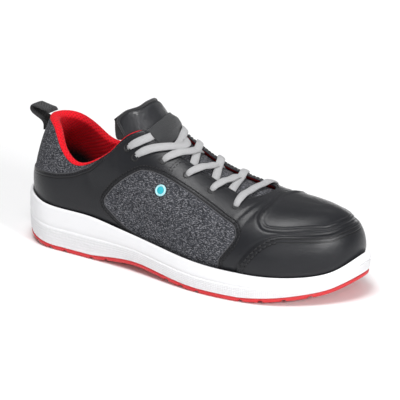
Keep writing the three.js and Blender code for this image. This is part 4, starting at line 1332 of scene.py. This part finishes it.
# Turned pieces: radius as a share of the eyelet's diameter or of half the badge's, height in mm.
EYELET_PROFILE = ((0.7073, -0.15), (0.6707, 0.32), (0.5732, 0.50), (0.4756, 0.30), (0.4268, -0.20),
                  (0.3902, -0.55), (0.0, -0.55))
BADGE_PROFILES = {
    "badge_rim": ((0.66, 0.5), (0.68, 1.05), (0.74, 1.35), (0.84, 1.45), (0.94, 1.35), (1.0, 1.05),
                  (1.03, 0.5), (1.03, 0.1), (0.66, 0.1), (0.66, 0.5)),
    "badge_face": ((0.0, 1.25), (0.2, 1.22), (0.42, 1.12), (0.58, 0.98), (0.66, 0.85), (0.66, 0.1),
                   (0.0, 0.1)),
}
BADGE_AT = 0.487
BADGE_HEIGHT = 0.695
# The pull loop's path: how far behind the heel, share of its reach, and share of heel height.
LOOP = np.array([
    (0.065, 0.865), (0.17, 0.915), (0.34, 0.945), (0.62, 0.968), (0.90, 0.992), (1.03, 1.022),
    (0.93, 1.052), (0.62, 1.046), (0.30, 1.036), (0.0, 1.028), (-0.10, 1.008),
])
LOOP_REACH = 16.0
LOOP_WIDTH = 13.6
HEEL_LIMIT = 0.93


def label_surface():
    """The label as a tube round its own thickness: places over the top lace bar, which it crosses
    on a smooth step, with an upper face, a lower face and a fold at each long edge."""
    y = np.linspace(LABEL_SPAN / 2, -LABEL_SPAN / 2, 40)
    x = np.linspace(-LABEL_HALF, LABEL_HALF, 26)
    index, bow, _, _ = TOP_BAR
    middle = (EYELETS[index, 0] + bow + LABEL_AHEAD - LABEL_SKEW * y
              - LABEL_BOW * bow * (2 * y / LABEL_SPAN) ** 2)
    at = middle[:, None] + x[None] / SOLE_LENGTH
    out = np.broadcast_to(y[:, None], at.shape)
    half = LABEL_THICKNESS / 2
    flat = TONGUE_LIFT + LABEL_OVER_TONGUE + half + tongue_crown(at, out / TONGUE_HALF)
    raised = bar_level(TOP_BAR, at, out) + LACE_THICKNESS / 2 + LABEL_OVER_LACE + half
    lift = flat + (raised - flat) * smooth((LABEL_HALF - np.abs(x)) / LABEL_SLOPE)[None]
    top, low = on_last(at, out, lift + half)[0], on_last(at, out, lift - half)[0]
    edge = (top + low) / 2
    ring = np.concatenate([top, 1.5 * edge[:, -1:] - 0.5 * edge[:, -2:-1], low[:, ::-1],
                           1.5 * edge[:, :1] - 0.5 * edge[:, 1:2], top[:, :1]], axis=1)
    ends = np.concatenate([edge, edge[:, -1:], edge[:, ::-1], edge[:, :1], edge[:, :1]], axis=1)
    closed = np.concatenate([ends[:1], ring, ends[-1:]])
    girth = np.concatenate([x, [LABEL_HALF], x[::-1] + 2 * LABEL_HALF, [3 * LABEL_HALF],
                            [4 * LABEL_HALF]])
    run = np.concatenate([y[:1], y, y[-1:]])
    return closed, tube_faces(closed), corner_uv(run[:, None], girth[None])


def loop_path():
    """The strap's line behind the heel, and its facing, square to the line."""
    heel = last_point(np.zeros(600), np.linspace(0, 1, 600))
    height = LOOP[:, 1] * HEEL_HEIGHT
    surface = np.interp(np.minimum(LOOP[:, 1], HEEL_LIMIT) * HEEL_HEIGHT, heel[:, 2], heel[:, 0])
    line = rounded_line(np.stack([surface - LOOP[:, 0] * LOOP_REACH, height], -1), 70, False)
    points = np.stack([line[:, 0], np.full(len(line), float(centre_at(0.0))), line[:, 1]], -1)
    return points, np.cross(unit(np.gradient(points, axis=0)), (0.0, 1.0, 0.0))


def badge_seat():
    """Point and normal of the side where the badge sits, found by its height."""
    out = -np.linspace(20, 50, 600)
    heights = on_last(BADGE_AT, out, np.zeros(600))[0][:, 2]
    nearest = np.argmin(np.abs(heights - BADGE_HEIGHT * HEEL_HEIGHT))
    return on_last(BADGE_AT, out[nearest], -OVERLAY_STEP)


# Materials of the pieces

YARN_SCALE = 1150.0
# Distances of the rows of thread from the seams, mm, and of the lines that they press in.
WINDOW_ROWS = (1.7, 4.0)
PRESSED_ROWS = (1.7, 3.9)
GUARD_ROWS = (2.2, 4.8)
STAY_ROWS = (-1.1, 1.1)
HEEL_ROW = 1.6
THROAT_ROW = 3.2
COLLAR_ROW = 2.6


def seam_rows(w, distance, places):
    """1 on stitch rows that run at some distances from a seam, and 0 beside them."""
    rows = [w.times(w.ramp(distance, place - 0.7, place - 0.1),
                    w.ramp(distance, place + 0.7, place + 0.1)) for place in places]
    return w.math("MAXIMUM", *rows)


def yarn_tone(w, cloth, colours):
    """Colour of the mixed yarns, with their light flecks."""
    ground = w.mix(cloth["Mottle"], colours.fabric, tint(colours.fabric, 1.9))
    return w.mix(w.times(cloth["Fleck"], 0.75), ground, colours.fleck)


def skin_normal(w, leather, hide, cloth, depth, strength, under=None):
    """The grain's relief on leather and the yarns' relief beside it."""
    fine = w.bump(hide["Height"], depth, w.times(leather, strength), under)
    return w.bump(cloth["Height"], 0.0006, w.times(w.rest(leather), 0.8), fine)


def finish_upper(colours):
    """Coated leather and melange fabric in one skin, parted where the seam distance is zero,
    with a darker cut edge, a painted highlight along the leather's edge round the window and
    the counter, a painted shadow line at the guard's edge, painted shade in the raised seam's
    channel, and dark lines under the stitch rows that are the thread's dark colour deepened by
    painted shade in the pressed grooves."""
    material, w, shader = new_material("upper_skin", colours.leather, 0.42,
                                       Specular_IOR_Level=0.24, Coat_Roughness=0.3)
    place = w.place()
    skin, guard, seam = w.attribute("skin"), w.attribute("guard"), w.attribute("seam")
    leather = w.ramp(skin, -0.25, 0.25)
    hide = w.group("leather_grain", Vector=place, Scale=1100.0)
    cloth = w.group("melange", Vector=place, Scale=YARN_SCALE)
    # dark: the cut edge's own darker colour, and also the painted shade at the guard's edge and in the
    # raised seam's channel
    dark = tint(colours.leather, 0.55)
    cut = w.times(w.ramp(skin, 1.1, 0.3), leather)
    # lip: a painted shadow line along the foot of the guard's edge, where the guard steps up
    lip = w.math("SUBTRACT", w.ramp(guard, -0.9, -0.1), w.ramp(guard, -0.1, 0.5))
    # groove: painted shade in the channel between the raised seam's two ridges
    groove = w.times(w.ramp(seam, 0.9, 1.5), w.ramp(seam, 2.3, 1.7))
    # rows: the thread's dark lines under the stitch rows, deepened by painted shade in their pressed
    # grooves
    rows = w.math("MAXIMUM", seam_rows(w, skin, PRESSED_ROWS), seam_rows(w, guard, GUARD_ROWS))
    # rim: a painted highlight, a pale grey line along the leather's edge at the window and the counter
    rim = w.times(w.ramp(skin, -0.1, 0.25), w.ramp(skin, 0.95, 0.5))
    tone = w.mix(hide["Mottle"], tint(colours.leather, 0.82), tint(colours.leather, 1.22))
    tone = w.mix(cut, tone, dark)
    for mask, share, colour in ((lip, 0.8, dark), (groove, 0.6, dark),
                                (rows, 0.75, (0.002, 0.002, 0.002, 1.0)),
                                (rim, 0.6, (0.13, 0.13, 0.14, 1.0))):
        tone = w.mix(w.times(mask, share), tone, colour)
    pressed = w.bump(w.rest(rows), 0.0006, 0.7)
    w.fill(shader, Base_Color=w.mix(leather, yarn_tone(w, cloth, colours), tone),
           Roughness=w.blend(leather, 0.88, w.blend(hide["Mottle"], 0.24, 0.37)),
           Coat_Weight=w.times(leather, 0.12),
           Normal=skin_normal(w, leather, hide, cloth, 0.00008, 0.45, pressed))
    return material


def finish_tongue(colours):
    """Glossy grained leather at the top, melange fabric below, parted by the length share."""
    material, w, shader = new_material("tongue_skin", colours.leather, 0.4)
    place = w.place()
    hide = w.group("leather_grain", Vector=place, Scale=900.0)
    cloth = w.group("melange", Vector=place, Scale=YARN_SCALE)
    leather = w.ramp(w.attribute("share"), 0.475, 0.470)
    edge = w.ramp(w.attribute("edge"), 2.2, 1.8)
    tone = w.mix(hide["Mottle"], tint(colours.leather, 0.8), tint(colours.leather, 1.5))
    tone = w.mix(leather, yarn_tone(w, cloth, colours), tone)
    tone = w.mix(w.times(edge, leather), tone, (0.006, 0.006, 0.007, 1.0))
    w.fill(shader, Base_Color=tone, Coat_Weight=w.times(leather, 0.2),
           Roughness=w.blend(leather, 0.88, w.blend(edge, 0.34, 0.7)),
           Normal=skin_normal(w, leather, hide, cloth, 0.00014, 0.6))
    return material


def finish_lining(colours):
    """Bright spacer mesh: rows of small open cells in half-drop repeat on uv, darker in the
    cells, that gives way to painted shade, near black, deep inside the shoe."""
    material, w, shader = new_material("collar_mesh", colours.lining, 0.72, Specular_IOR_Level=0.2,
                                       Sheen_Weight=0.06, Sheen_Roughness=0.4)
    uv = w.uv()
    cell = w.group("diamond_cells", UV=uv, Turn=math.pi / 3.6)["Cell"]
    hole = w.ramp(w.math("ABSOLUTE", cell), 0.45, 0.85)
    # Painted shade: the mesh fades to near black from 34 to 52 mm along the lining from its edge
    inner_shade = w.ramp(w.node("ShaderNodeSeparateXYZ", {"Vector": uv}).outputs[1], 34.0, 52.0)
    mesh = w.mix(w.times(hole, 0.5), colours.lining, tint(colours.lining, 0.45))
    w.fill(shader, Base_Color=w.mix(inner_shade, mesh, (0.012, 0.011, 0.012, 1.0)),
           Normal=w.bump(w.rest(hole), 0.0007, 0.8))
    return material


def finish_cloth(name, colour, pitch, roughness=0.85, stretch=1.0, contrast=0.35, height=0.0003):
    """A plain woven finish on uv in mm, for laces, webbing, label and binding."""
    material, w, shader = new_material(name, colour, roughness, Sheen_Weight=0.15)
    weave = w.group("weave", UV=w.uv(), Pitch=pitch, Stretch=stretch)["Height"]
    low = tint(colour, 1 - contrast)
    tone = w.mix(weave, low, colour)
    w.fill(shader, Base_Color=w.mix(w.times(w.noise(w.place(), 160.0), 0.35), tone, low),
           Normal=w.bump(weave, height, 0.8))
    return material


def finish_foam(colours):
    """Moulded foam: satin above, with a fine pebbled grid on the lower band, which the height
    share marks, painted shade between the grid's studs, and a faint mottle."""
    material, w, shader = new_material("moulded_foam", colours.foam, 0.5, Subsurface_Weight=0.06,
                                       Subsurface_Radius=(0.004, 0.004, 0.004))
    share, place = w.attribute("share"), w.place()
    stud = w.ramp(w.group("diamond_cells", UV=w.uv(), Turn=2.1)["Cell"], 0.05, 0.65)
    band = w.times(w.ramp(share, 0.06, 0.10), w.ramp(share, 0.45, 0.41))
    # low: the darker foam, both for the painted shade between the band's studs and for the random
    # mottle
    low = tint(colours.foam, 0.90)
    tone = w.mix(w.times(w.times(w.rest(stud), band), 0.55), colours.foam, low)
    grain = w.bump(w.noise(place, 1500.0), 0.00008, 0.5)
    w.fill(shader, Base_Color=w.mix(w.times(w.noise(place, 22.0), 0.25), tone, low),
           Roughness=w.blend(band, 0.42, 0.6),
           Normal=w.bump(w.times(stud, band), 0.0004, 0.8, grain))
    return material


def finish_rubber(colours):
    """Matt moulded rubber with a fine grain and a slow mottle, with painted shade darkening the
    grooves.
    """
    material, w, shader = new_material("tread_rubber", colours.rubber, 0.55)
    place = w.place()
    slow = w.noise(place, 45.0, 3.0)
    tone = w.mix(w.times(slow, 0.4), colours.rubber, tint(colours.rubber, 0.72))
    # Painted shade in the grooves and the edge notches, which the groove share marks
    tone = w.mix(w.times(w.attribute("groove"), 0.5), tone, tint(colours.rubber, 0.55))
    w.fill(shader, Base_Color=tone, Roughness=w.ramp(slow, 0.3, 0.7, 0.48, 0.66),
           Normal=w.bump(w.noise(place, 1300.0, 3.0), 0.00012, 0.6))
    return material


def finish_plain(name, colour, roughness, scale=900.0, depth=0.00006, **sockets):
    """A smooth finish with a faint mottle in colour and a fine relief, for thread and discs."""
    material, w, shader = new_material(name, colour, roughness, **sockets)
    noise = w.noise(w.place(), scale)
    w.fill(shader, Base_Color=w.mix(noise, tint(colour, 0.75), colour),
           Normal=w.bump(noise, depth, 0.5))
    return material


# Settings that a user would change

def colour_property(name, description, default):
    """A colour with its alpha."""
    return bpy.props.FloatVectorProperty(name=name, description=description, default=default,
                                         size=4, subtype="COLOR", min=0.0, max=1.0)


def length_property(name, description, default):
    """A length in the scene's units."""
    return bpy.props.FloatProperty(name=name, description=description, default=default,
                                   subtype="DISTANCE", unit="LENGTH", min=0.0)


class SneakerColours(bpy.types.PropertyGroup):
    """Colours of the sneaker's materials."""

    leather: colour_property("Leather", "Coated leather of the upper", (0.012, 0.0125, 0.015, 1.0))
    fabric: colour_property("Fabric", "Ground of the melange fabric", (0.020, 0.021, 0.025, 1.0))
    fleck: colour_property("Fleck", "Light yarns of the melange fabric", (0.25, 0.25, 0.27, 1.0))
    lining: colour_property("Collar mesh", "Mesh of the collar's lining", (0.78, 0.004, 0.015, 1.0))
    foam: colour_property("Foam", "Moulded midsole", (0.81, 0.81, 0.825, 1.0))
    rubber: colour_property("Rubber", "Tread", (0.62, 0.022, 0.028, 1.0))
    lace: colour_property("Lace", "Flat woven laces", (0.50, 0.50, 0.51, 1.0))
    webbing: colour_property("Webbing", "Pull loop", (0.016, 0.016, 0.019, 1.0))
    label: colour_property("Label", "Blank woven label", (0.022, 0.023, 0.026, 1.0))
    insole: colour_property("Insole", "Cover of the insole", (0.020, 0.020, 0.023, 1.0))
    eyelet: colour_property("Eyelet", "Rolled rings of the eyelets", (0.006, 0.006, 0.007, 1.0))
    thread: colour_property("Thread", "Sewing thread", (0.010, 0.010, 0.012, 1.0))
    badge: colour_property("Badge", "Side badge", (0.030, 0.46, 0.56, 1.0))
    rim: colour_property("Badge rim", "Rim of the side badge", (0.45, 0.80, 0.86, 1.0))


class SneakerSizes(bpy.types.PropertyGroup):
    """Sizes of the sneaker's fine pieces."""

    stitch_pitch: length_property("Stitch pitch", "From one stitch to the next", 0.0027)
    stitch_length: length_property("Stitch length", "Length of one stitch", 0.0021)
    thread_radius: length_property("Thread radius", "Half the thickness of the thread", 0.00042)
    loop_thickness: length_property("Loop thickness", "Thickness of the pull loop's strap", 0.0017)


# Operators

class SHOE_OT_upper(bpy.types.Operator):
    """Shapes the leather and fabric upper as one closed shell"""

    bl_idname = "shoe.shape_upper"
    bl_label = "Shape upper"

    def execute(self, context):
        points, faces, attributes = upper_surface()
        material = finish_upper(context.scene.sneaker_colours)
        add_piece("upper_shell", points, faces, material, ["upper"], attributes)
        return {"FINISHED"}


class SHOE_OT_lining(bpy.types.Operator):
    """Pads the collar with its mesh roll and lines the inside"""

    bl_idname = "shoe.pad_collar"
    bl_label = "Pad collar"

    def execute(self, context):
        opened = np.nonzero(~CLOSED)[0]
        order = np.roll(opened, -1 - int(np.argmax(np.diff(opened))))
        points = lining_surface()[order]
        rim = run_length(points[:, 8])[:, None]
        material = finish_lining(context.scene.sneaker_colours)
        piece = add_piece("collar_lining", points, grid_faces(numbered(points)), material,
                          uv=corner_uv(rim, run_length(points, axis=1)),
                          outward=False)
        wall = piece.modifiers.new("wall", "SOLIDIFY")
        wall.thickness = 0.0005
        wall.offset = 1.0
        return {"FINISHED"}


class SHOE_OT_tongue(bpy.types.Operator):
    """Pads the tongue, binds its edge and sews its blank label over the top lace"""

    bl_idname = "shoe.shape_tongue"
    bl_label = "Shape tongue"

    def execute(self, context):
        colours = context.scene.sneaker_colours
        points, share, edge = tongue_surface()
        piece = add_piece("tongue_pad", points, tube_faces(points), finish_tongue(colours),
                          ["tongue"], {"share": share, "edge": edge}, weld=True)
        cloth = finish_cloth("edge_binding", colours.webbing, 0.7, roughness=0.7)
        points, faces, uv = swept_band(*binding_line(), BINDING_WIDTH, BINDING_THICKNESS, sides=14,
                                       power=2.2)
        add_piece("tongue_binding", points, faces, cloth, uv=uv, weld=True)
        cloth = finish_cloth("woven_label", colours.label, 0.55, roughness=0.6, height=0.00015,
                             contrast=0.4)
        points, faces, uv = label_surface()
        add_piece("blank_label", points, faces, cloth, ["tongue_label"], uv=uv, weld=True)
        return {"FINISHED"}


class SHOE_OT_laces(bpy.types.Operator):
    """Threads the flat laces through the eyelets and finishes the eyelets"""

    bl_idname = "shoe.thread_laces"
    bl_label = "Thread laces"

    def execute(self, context):
        colours = context.scene.sneaker_colours
        cloth = finish_cloth("lace_weave", colours.lace, 0.62, contrast=0.30, stretch=1.5,
                             height=0.00035)
        runs = []
        for number, (start, outer_end, inner_end, bow) in enumerate(STRANDS, 1):
            over = strand_path(start, outer_end, bow, -1, OVER_LIFT)
            under = strand_path(start, inner_end, 0.4 * bow, 1, UNDER_LIFT)
            runs.append((f"lace_pair_{number}", f"lace_crossing_{number}",
                         joined([lace_part(*over, False), lace_part(*under, False)])))
        runs.append(("lace_end_bar", "lace_top_bar", lace_part(*bar_path(TOP_BAR), True)))
        runs.append(("lace_first_bar", "lace_toe_bar", lace_part(*bar_path(TOE_BAR), True)))
        for name, node, (points, faces, uv) in runs:
            add_piece(name, points, faces, cloth, [node], uv=uv, weld=True)
        profile = np.array(EYELET_PROFILE) * (EYELET_DIAMETER, 1)
        rings = [turned_profile(*on_last(at, side * out * BALL_WIDTH, 0.0), (0.0, 1.0, 0.0),
                                profile, 24) for at, out in EYELETS for side in (-1, 1)]
        points, faces, uv = joined(rings)
        add_piece("eyelets", points, faces, finish_plain("eyelet_edge", colours.eyelet, 0.5),
                  uv=uv, weld=True)
        return {"FINISHED"}


class SHOE_OT_stitches(bpy.types.Operator):
    """Sews the visible seams of the upper"""

    bl_idname = "shoe.sew_seams"
    bl_label = "Sew seams"

    def execute(self, context):
        sizes = context.scene.sneaker_sizes
        thread = np.array([sizes.stitch_pitch, sizes.stitch_length, sizes.thread_radius]) / MM
        rows = []
        for side in (-1, 1):
            window = side_path(ringed(PANEL_LOOP), side, 0.3)
            guard = side_path(GUARD_LINE[:57], side, OVERLAY_STEP + 0.65)
            heel = side_path(COUNTER_LINE[3:47], side, 0.1)
            stay = side_path(STAY_LINE, side, 0.15)
            rows += [stitches(*moved_across(*window, side * gap), *thread) for gap in WINDOW_ROWS]
            rows += [stitches(*moved_across(*guard, -side * gap), *thread * 1.45)
                     for gap in GUARD_ROWS]
            rows.append(stitches(*moved_across(*heel, -side * HEEL_ROW), *thread))
            rows += [stitches(*moved_across(*stay, gap), *thread) for gap in STAY_ROWS]
        rows += [stitches(*below_edge(run, THROAT_ROW, 0.25), *thread * 1.15)
                 for run in edge_runs(0.41, 0.735)]
        rows += [stitches(*below_edge(run, COLLAR_ROW, 0.1), *thread)
                 for run in edge_runs(0.30, 0.40)]
        points, faces, uv = joined(rows)
        material = finish_plain("thread", context.scene.sneaker_colours.thread, 0.6, scale=2500.0,
                                depth=0.0001)
        add_piece("seam_stitches", points, faces, material, uv=uv, outward=False)
        return {"FINISHED"}


class SHOE_OT_midsole(bpy.types.Operator):
    """Moulds the foam midsole with its smooth and its pebbled band"""

    bl_idname = "shoe.mould_midsole"
    bl_label = "Mould midsole"

    def execute(self, context):
        points, faces, uv, share = midsole_surface()
        add_piece("foam_midsole", points, faces, finish_foam(context.scene.sneaker_colours),
                  ["midsole"], {"share": share}, uv=uv, weld=True)
        return {"FINISHED"}


class SHOE_OT_outsole(bpy.types.Operator):
    """Moulds the rubber outsole with its slanted grooves and edge lugs"""

    bl_idname = "shoe.mould_outsole"
    bl_label = "Mould outsole"

    def execute(self, context):
        # groove: where the tread is cut, which the rubber darkens as painted shade
        points, faces, groove = outsole_surface()
        add_piece("tread_outsole", points, faces, finish_rubber(context.scene.sneaker_colours),
                  ["outsole"], {"groove": groove}, weld=True)
        return {"FINISHED"}


class SHOE_OT_small(bpy.types.Operator):
    """Makes the pull loop, the side badge and the insole's cover"""

    bl_idname = "shoe.add_small_pieces"
    bl_label = "Add loop, badge and insole cover"

    def execute(self, context):
        colours, sizes = context.scene.sneaker_colours, context.scene.sneaker_sizes
        cloth = finish_cloth("loop_webbing", colours.webbing, 0.75, contrast=0.45, stretch=1.8)
        points, faces, uv = swept_band(*loop_path(), LOOP_WIDTH, sizes.loop_thickness / MM,
                                       sides=18, power=3.4)
        add_piece("loop_strap", points, faces, cloth, ["pull_loop"], uv=uv, weld=True)
        for name, colour in (("badge_rim", colours.rim), ("badge_face", colours.badge)):
            profile = np.array(BADGE_PROFILES[name]) * (BADGE_DIAMETER / 2, 1)
            points, faces, _ = turned_profile(*badge_seat(), (0.0, 0.0, 1.0), profile, 48)
            gloss = finish_plain(name + "_gloss", colour, 0.25, scale=300.0, depth=0.00002,
                                 Coat_Weight=0.6, Coat_Roughness=0.1)
            add_piece(name, points, faces, gloss, ["side_badge"], weld=True)
        cloth = finish_cloth("insole_cover", colours.insole, 1.1, contrast=0.5, height=0.0004)
        points, faces = insole_surface()
        piece = add_piece("insole_cover", points, faces, cloth, ["insole"],
                          uv=points[faces][..., :2], weld=True)
        return {"FINISHED"}


# Stage

FLOOR_HALF = 6.0
FLOOR_LEVEL = -0.0004
# Lamps: name, place, aim, power in W, size in m, spread in degrees.
LAMPS = (
    ("overhead_softbox", (0.05, -0.40, 1.45), (0.0, 0.0, 0.04), 15.0, 0.6, 180),
    ("toe_softbox", (1.30, -0.55, 0.62), (0.10, 0.0, 0.05), 12.0, 0.30, 180),
    ("camera_fill", (0.75, -1.55, 0.75), (0.0, 0.0, 0.04), 5.5, 0.9, 180),
    ("back_wash", (-0.7, 2.2, 2.0), (-0.7, 2.2, 0.0), 60.0, 1.8, 80),
)
# The photograph's camera: angles in degrees, distance and aim in m, the sensor in mm, and the
# picture's size, focal length and shift in the photograph's pixels.
AZIMUTH = 33.0
ELEVATION = 19.575
ROLL = 0.214
DISTANCE = 1.5
AIM = Vector((0.0, 0.0, 0.04))
PHOTO_SIZE = 400.0
FOCAL_LENGTH = 1908.0
SHIFT = (7.99, 13.46)
SENSOR = 36.0


def photo_camera():
    """A camera at an azimuth, elevation and distance from a point over the middle of the sole,
    rolled a little, whose shift frames the shoe as the photograph does."""
    azimuth, elevation, roll = (math.radians(turn) for turn in (AZIMUTH, ELEVATION, ROLL))
    back = Vector((math.sin(azimuth) * math.cos(elevation),
                   -math.cos(azimuth) * math.cos(elevation), math.sin(elevation)))
    right = Vector((math.cos(azimuth), math.sin(azimuth), 0.0))
    up = back.cross(right)
    turned_right = right * math.cos(roll) + up * math.sin(roll)
    turned_up = up * math.cos(roll) - right * math.sin(roll)
    data = bpy.data.cameras.new("camera")
    data.sensor_width = SENSOR
    data.lens = FOCAL_LENGTH / PHOTO_SIZE * SENSOR
    data.shift_x, data.shift_y = (part / PHOTO_SIZE for part in SHIFT)
    data.clip_start, data.clip_end = 0.05, 50.0
    camera = bpy.data.objects.new("camera", data)
    turn = Matrix((turned_right, turned_up, back)).transposed()
    camera.matrix_world = Matrix.Translation(AIM + back * DISTANCE) @ turn.to_4x4()
    return camera


class SHOE_OT_stage(bpy.types.Operator):
    """Lays the pale floor and sets the lights and the camera"""

    bl_idname = "shoe.lay_stage"
    bl_label = "Lay stage"

    def execute(self, context):
        scene = context.scene
        mesh = bpy.data.meshes.new("floor")
        corners = [(FLOOR_HALF * x, FLOOR_HALF * y, 0) for x, y in ((-1, -1), (1, -1), (1, 1), (-1, 1))]
        mesh.from_pydata(corners, [], [(0, 1, 2, 3)])
        floor = bpy.data.objects.new("floor", mesh)
        scene.collection.objects.link(floor)
        floor.location.z = FLOOR_LEVEL
        material, _, _ = new_material("floor_paint", (0.93, 0.93, 0.935), 0.9,
                                      Specular_IOR_Level=0.1)
        mesh.materials.append(material)
        scene.world = scene.world or bpy.data.worlds.new("studio")
        scene.world.use_nodes = True
        backdrop = scene.world.node_tree.nodes["Background"]
        backdrop.inputs["Color"].default_value = (1.0, 1.0, 1.0, 1.0)
        backdrop.inputs["Strength"].default_value = 0.32
        for name, place, aim, power, extent, spread in LAMPS:
            lamp = bpy.data.lights.new(name, "AREA")
            lamp.energy = power
            lamp.size = extent
            lamp.spread = math.radians(spread)
            light = bpy.data.objects.new(name, lamp)
            scene.collection.objects.link(light)
            light.location = place
            way = Vector(aim) - Vector(place)
            light.rotation_euler = way.to_track_quat("-Z", "Y").to_euler()
        camera = photo_camera()
        scene.collection.objects.link(camera)
        scene.camera = camera
        scene.view_settings.view_transform = "Standard"
        scene.view_settings.look = "None"
        return {"FINISHED"}


OPERATORS = (SHOE_OT_stage, SHOE_OT_outsole, SHOE_OT_midsole, SHOE_OT_upper, SHOE_OT_lining,
             SHOE_OT_tongue, SHOE_OT_laces, SHOE_OT_stitches, SHOE_OT_small)


class SHOE_PT_panel(bpy.types.Panel):
    """Lists the sneaker's operators, sizes and colours"""

    bl_idname = "SHOE_PT_panel"
    bl_label = "Safety sneaker"
    bl_space_type = "VIEW_3D"
    bl_region_type = "UI"
    bl_category = "Sneaker"

    def draw(self, context):
        for operator in OPERATORS:
            self.layout.operator(operator.bl_idname)
        for group in (context.scene.sneaker_sizes, context.scene.sneaker_colours):
            box = self.layout.box()
            for key in group.bl_rna.properties.keys():
                if key not in ("rna_type", "name"):
                    box.prop(group, key)


CLASSES = (SneakerColours, SneakerSizes, *OPERATORS, SHOE_PT_panel)


def register():
    """Adds the classes and the scene's settings."""
    for item in CLASSES:
        bpy.utils.register_class(item)
    bpy.types.Scene.sneaker_colours = bpy.props.PointerProperty(type=SneakerColours)
    bpy.types.Scene.sneaker_sizes = bpy.props.PointerProperty(type=SneakerSizes)


def unregister():
    """Takes them away again."""
    del bpy.types.Scene.sneaker_sizes
    del bpy.types.Scene.sneaker_colours
    for item in reversed(CLASSES):
        bpy.utils.unregister_class(item)


def main():
    """Makes every piece."""
    register()
    for operator in OPERATORS:
        group, name = operator.bl_idname.split(".")
        getattr(getattr(bpy.ops, group), name)()


if __name__ == "__main__":
    main()
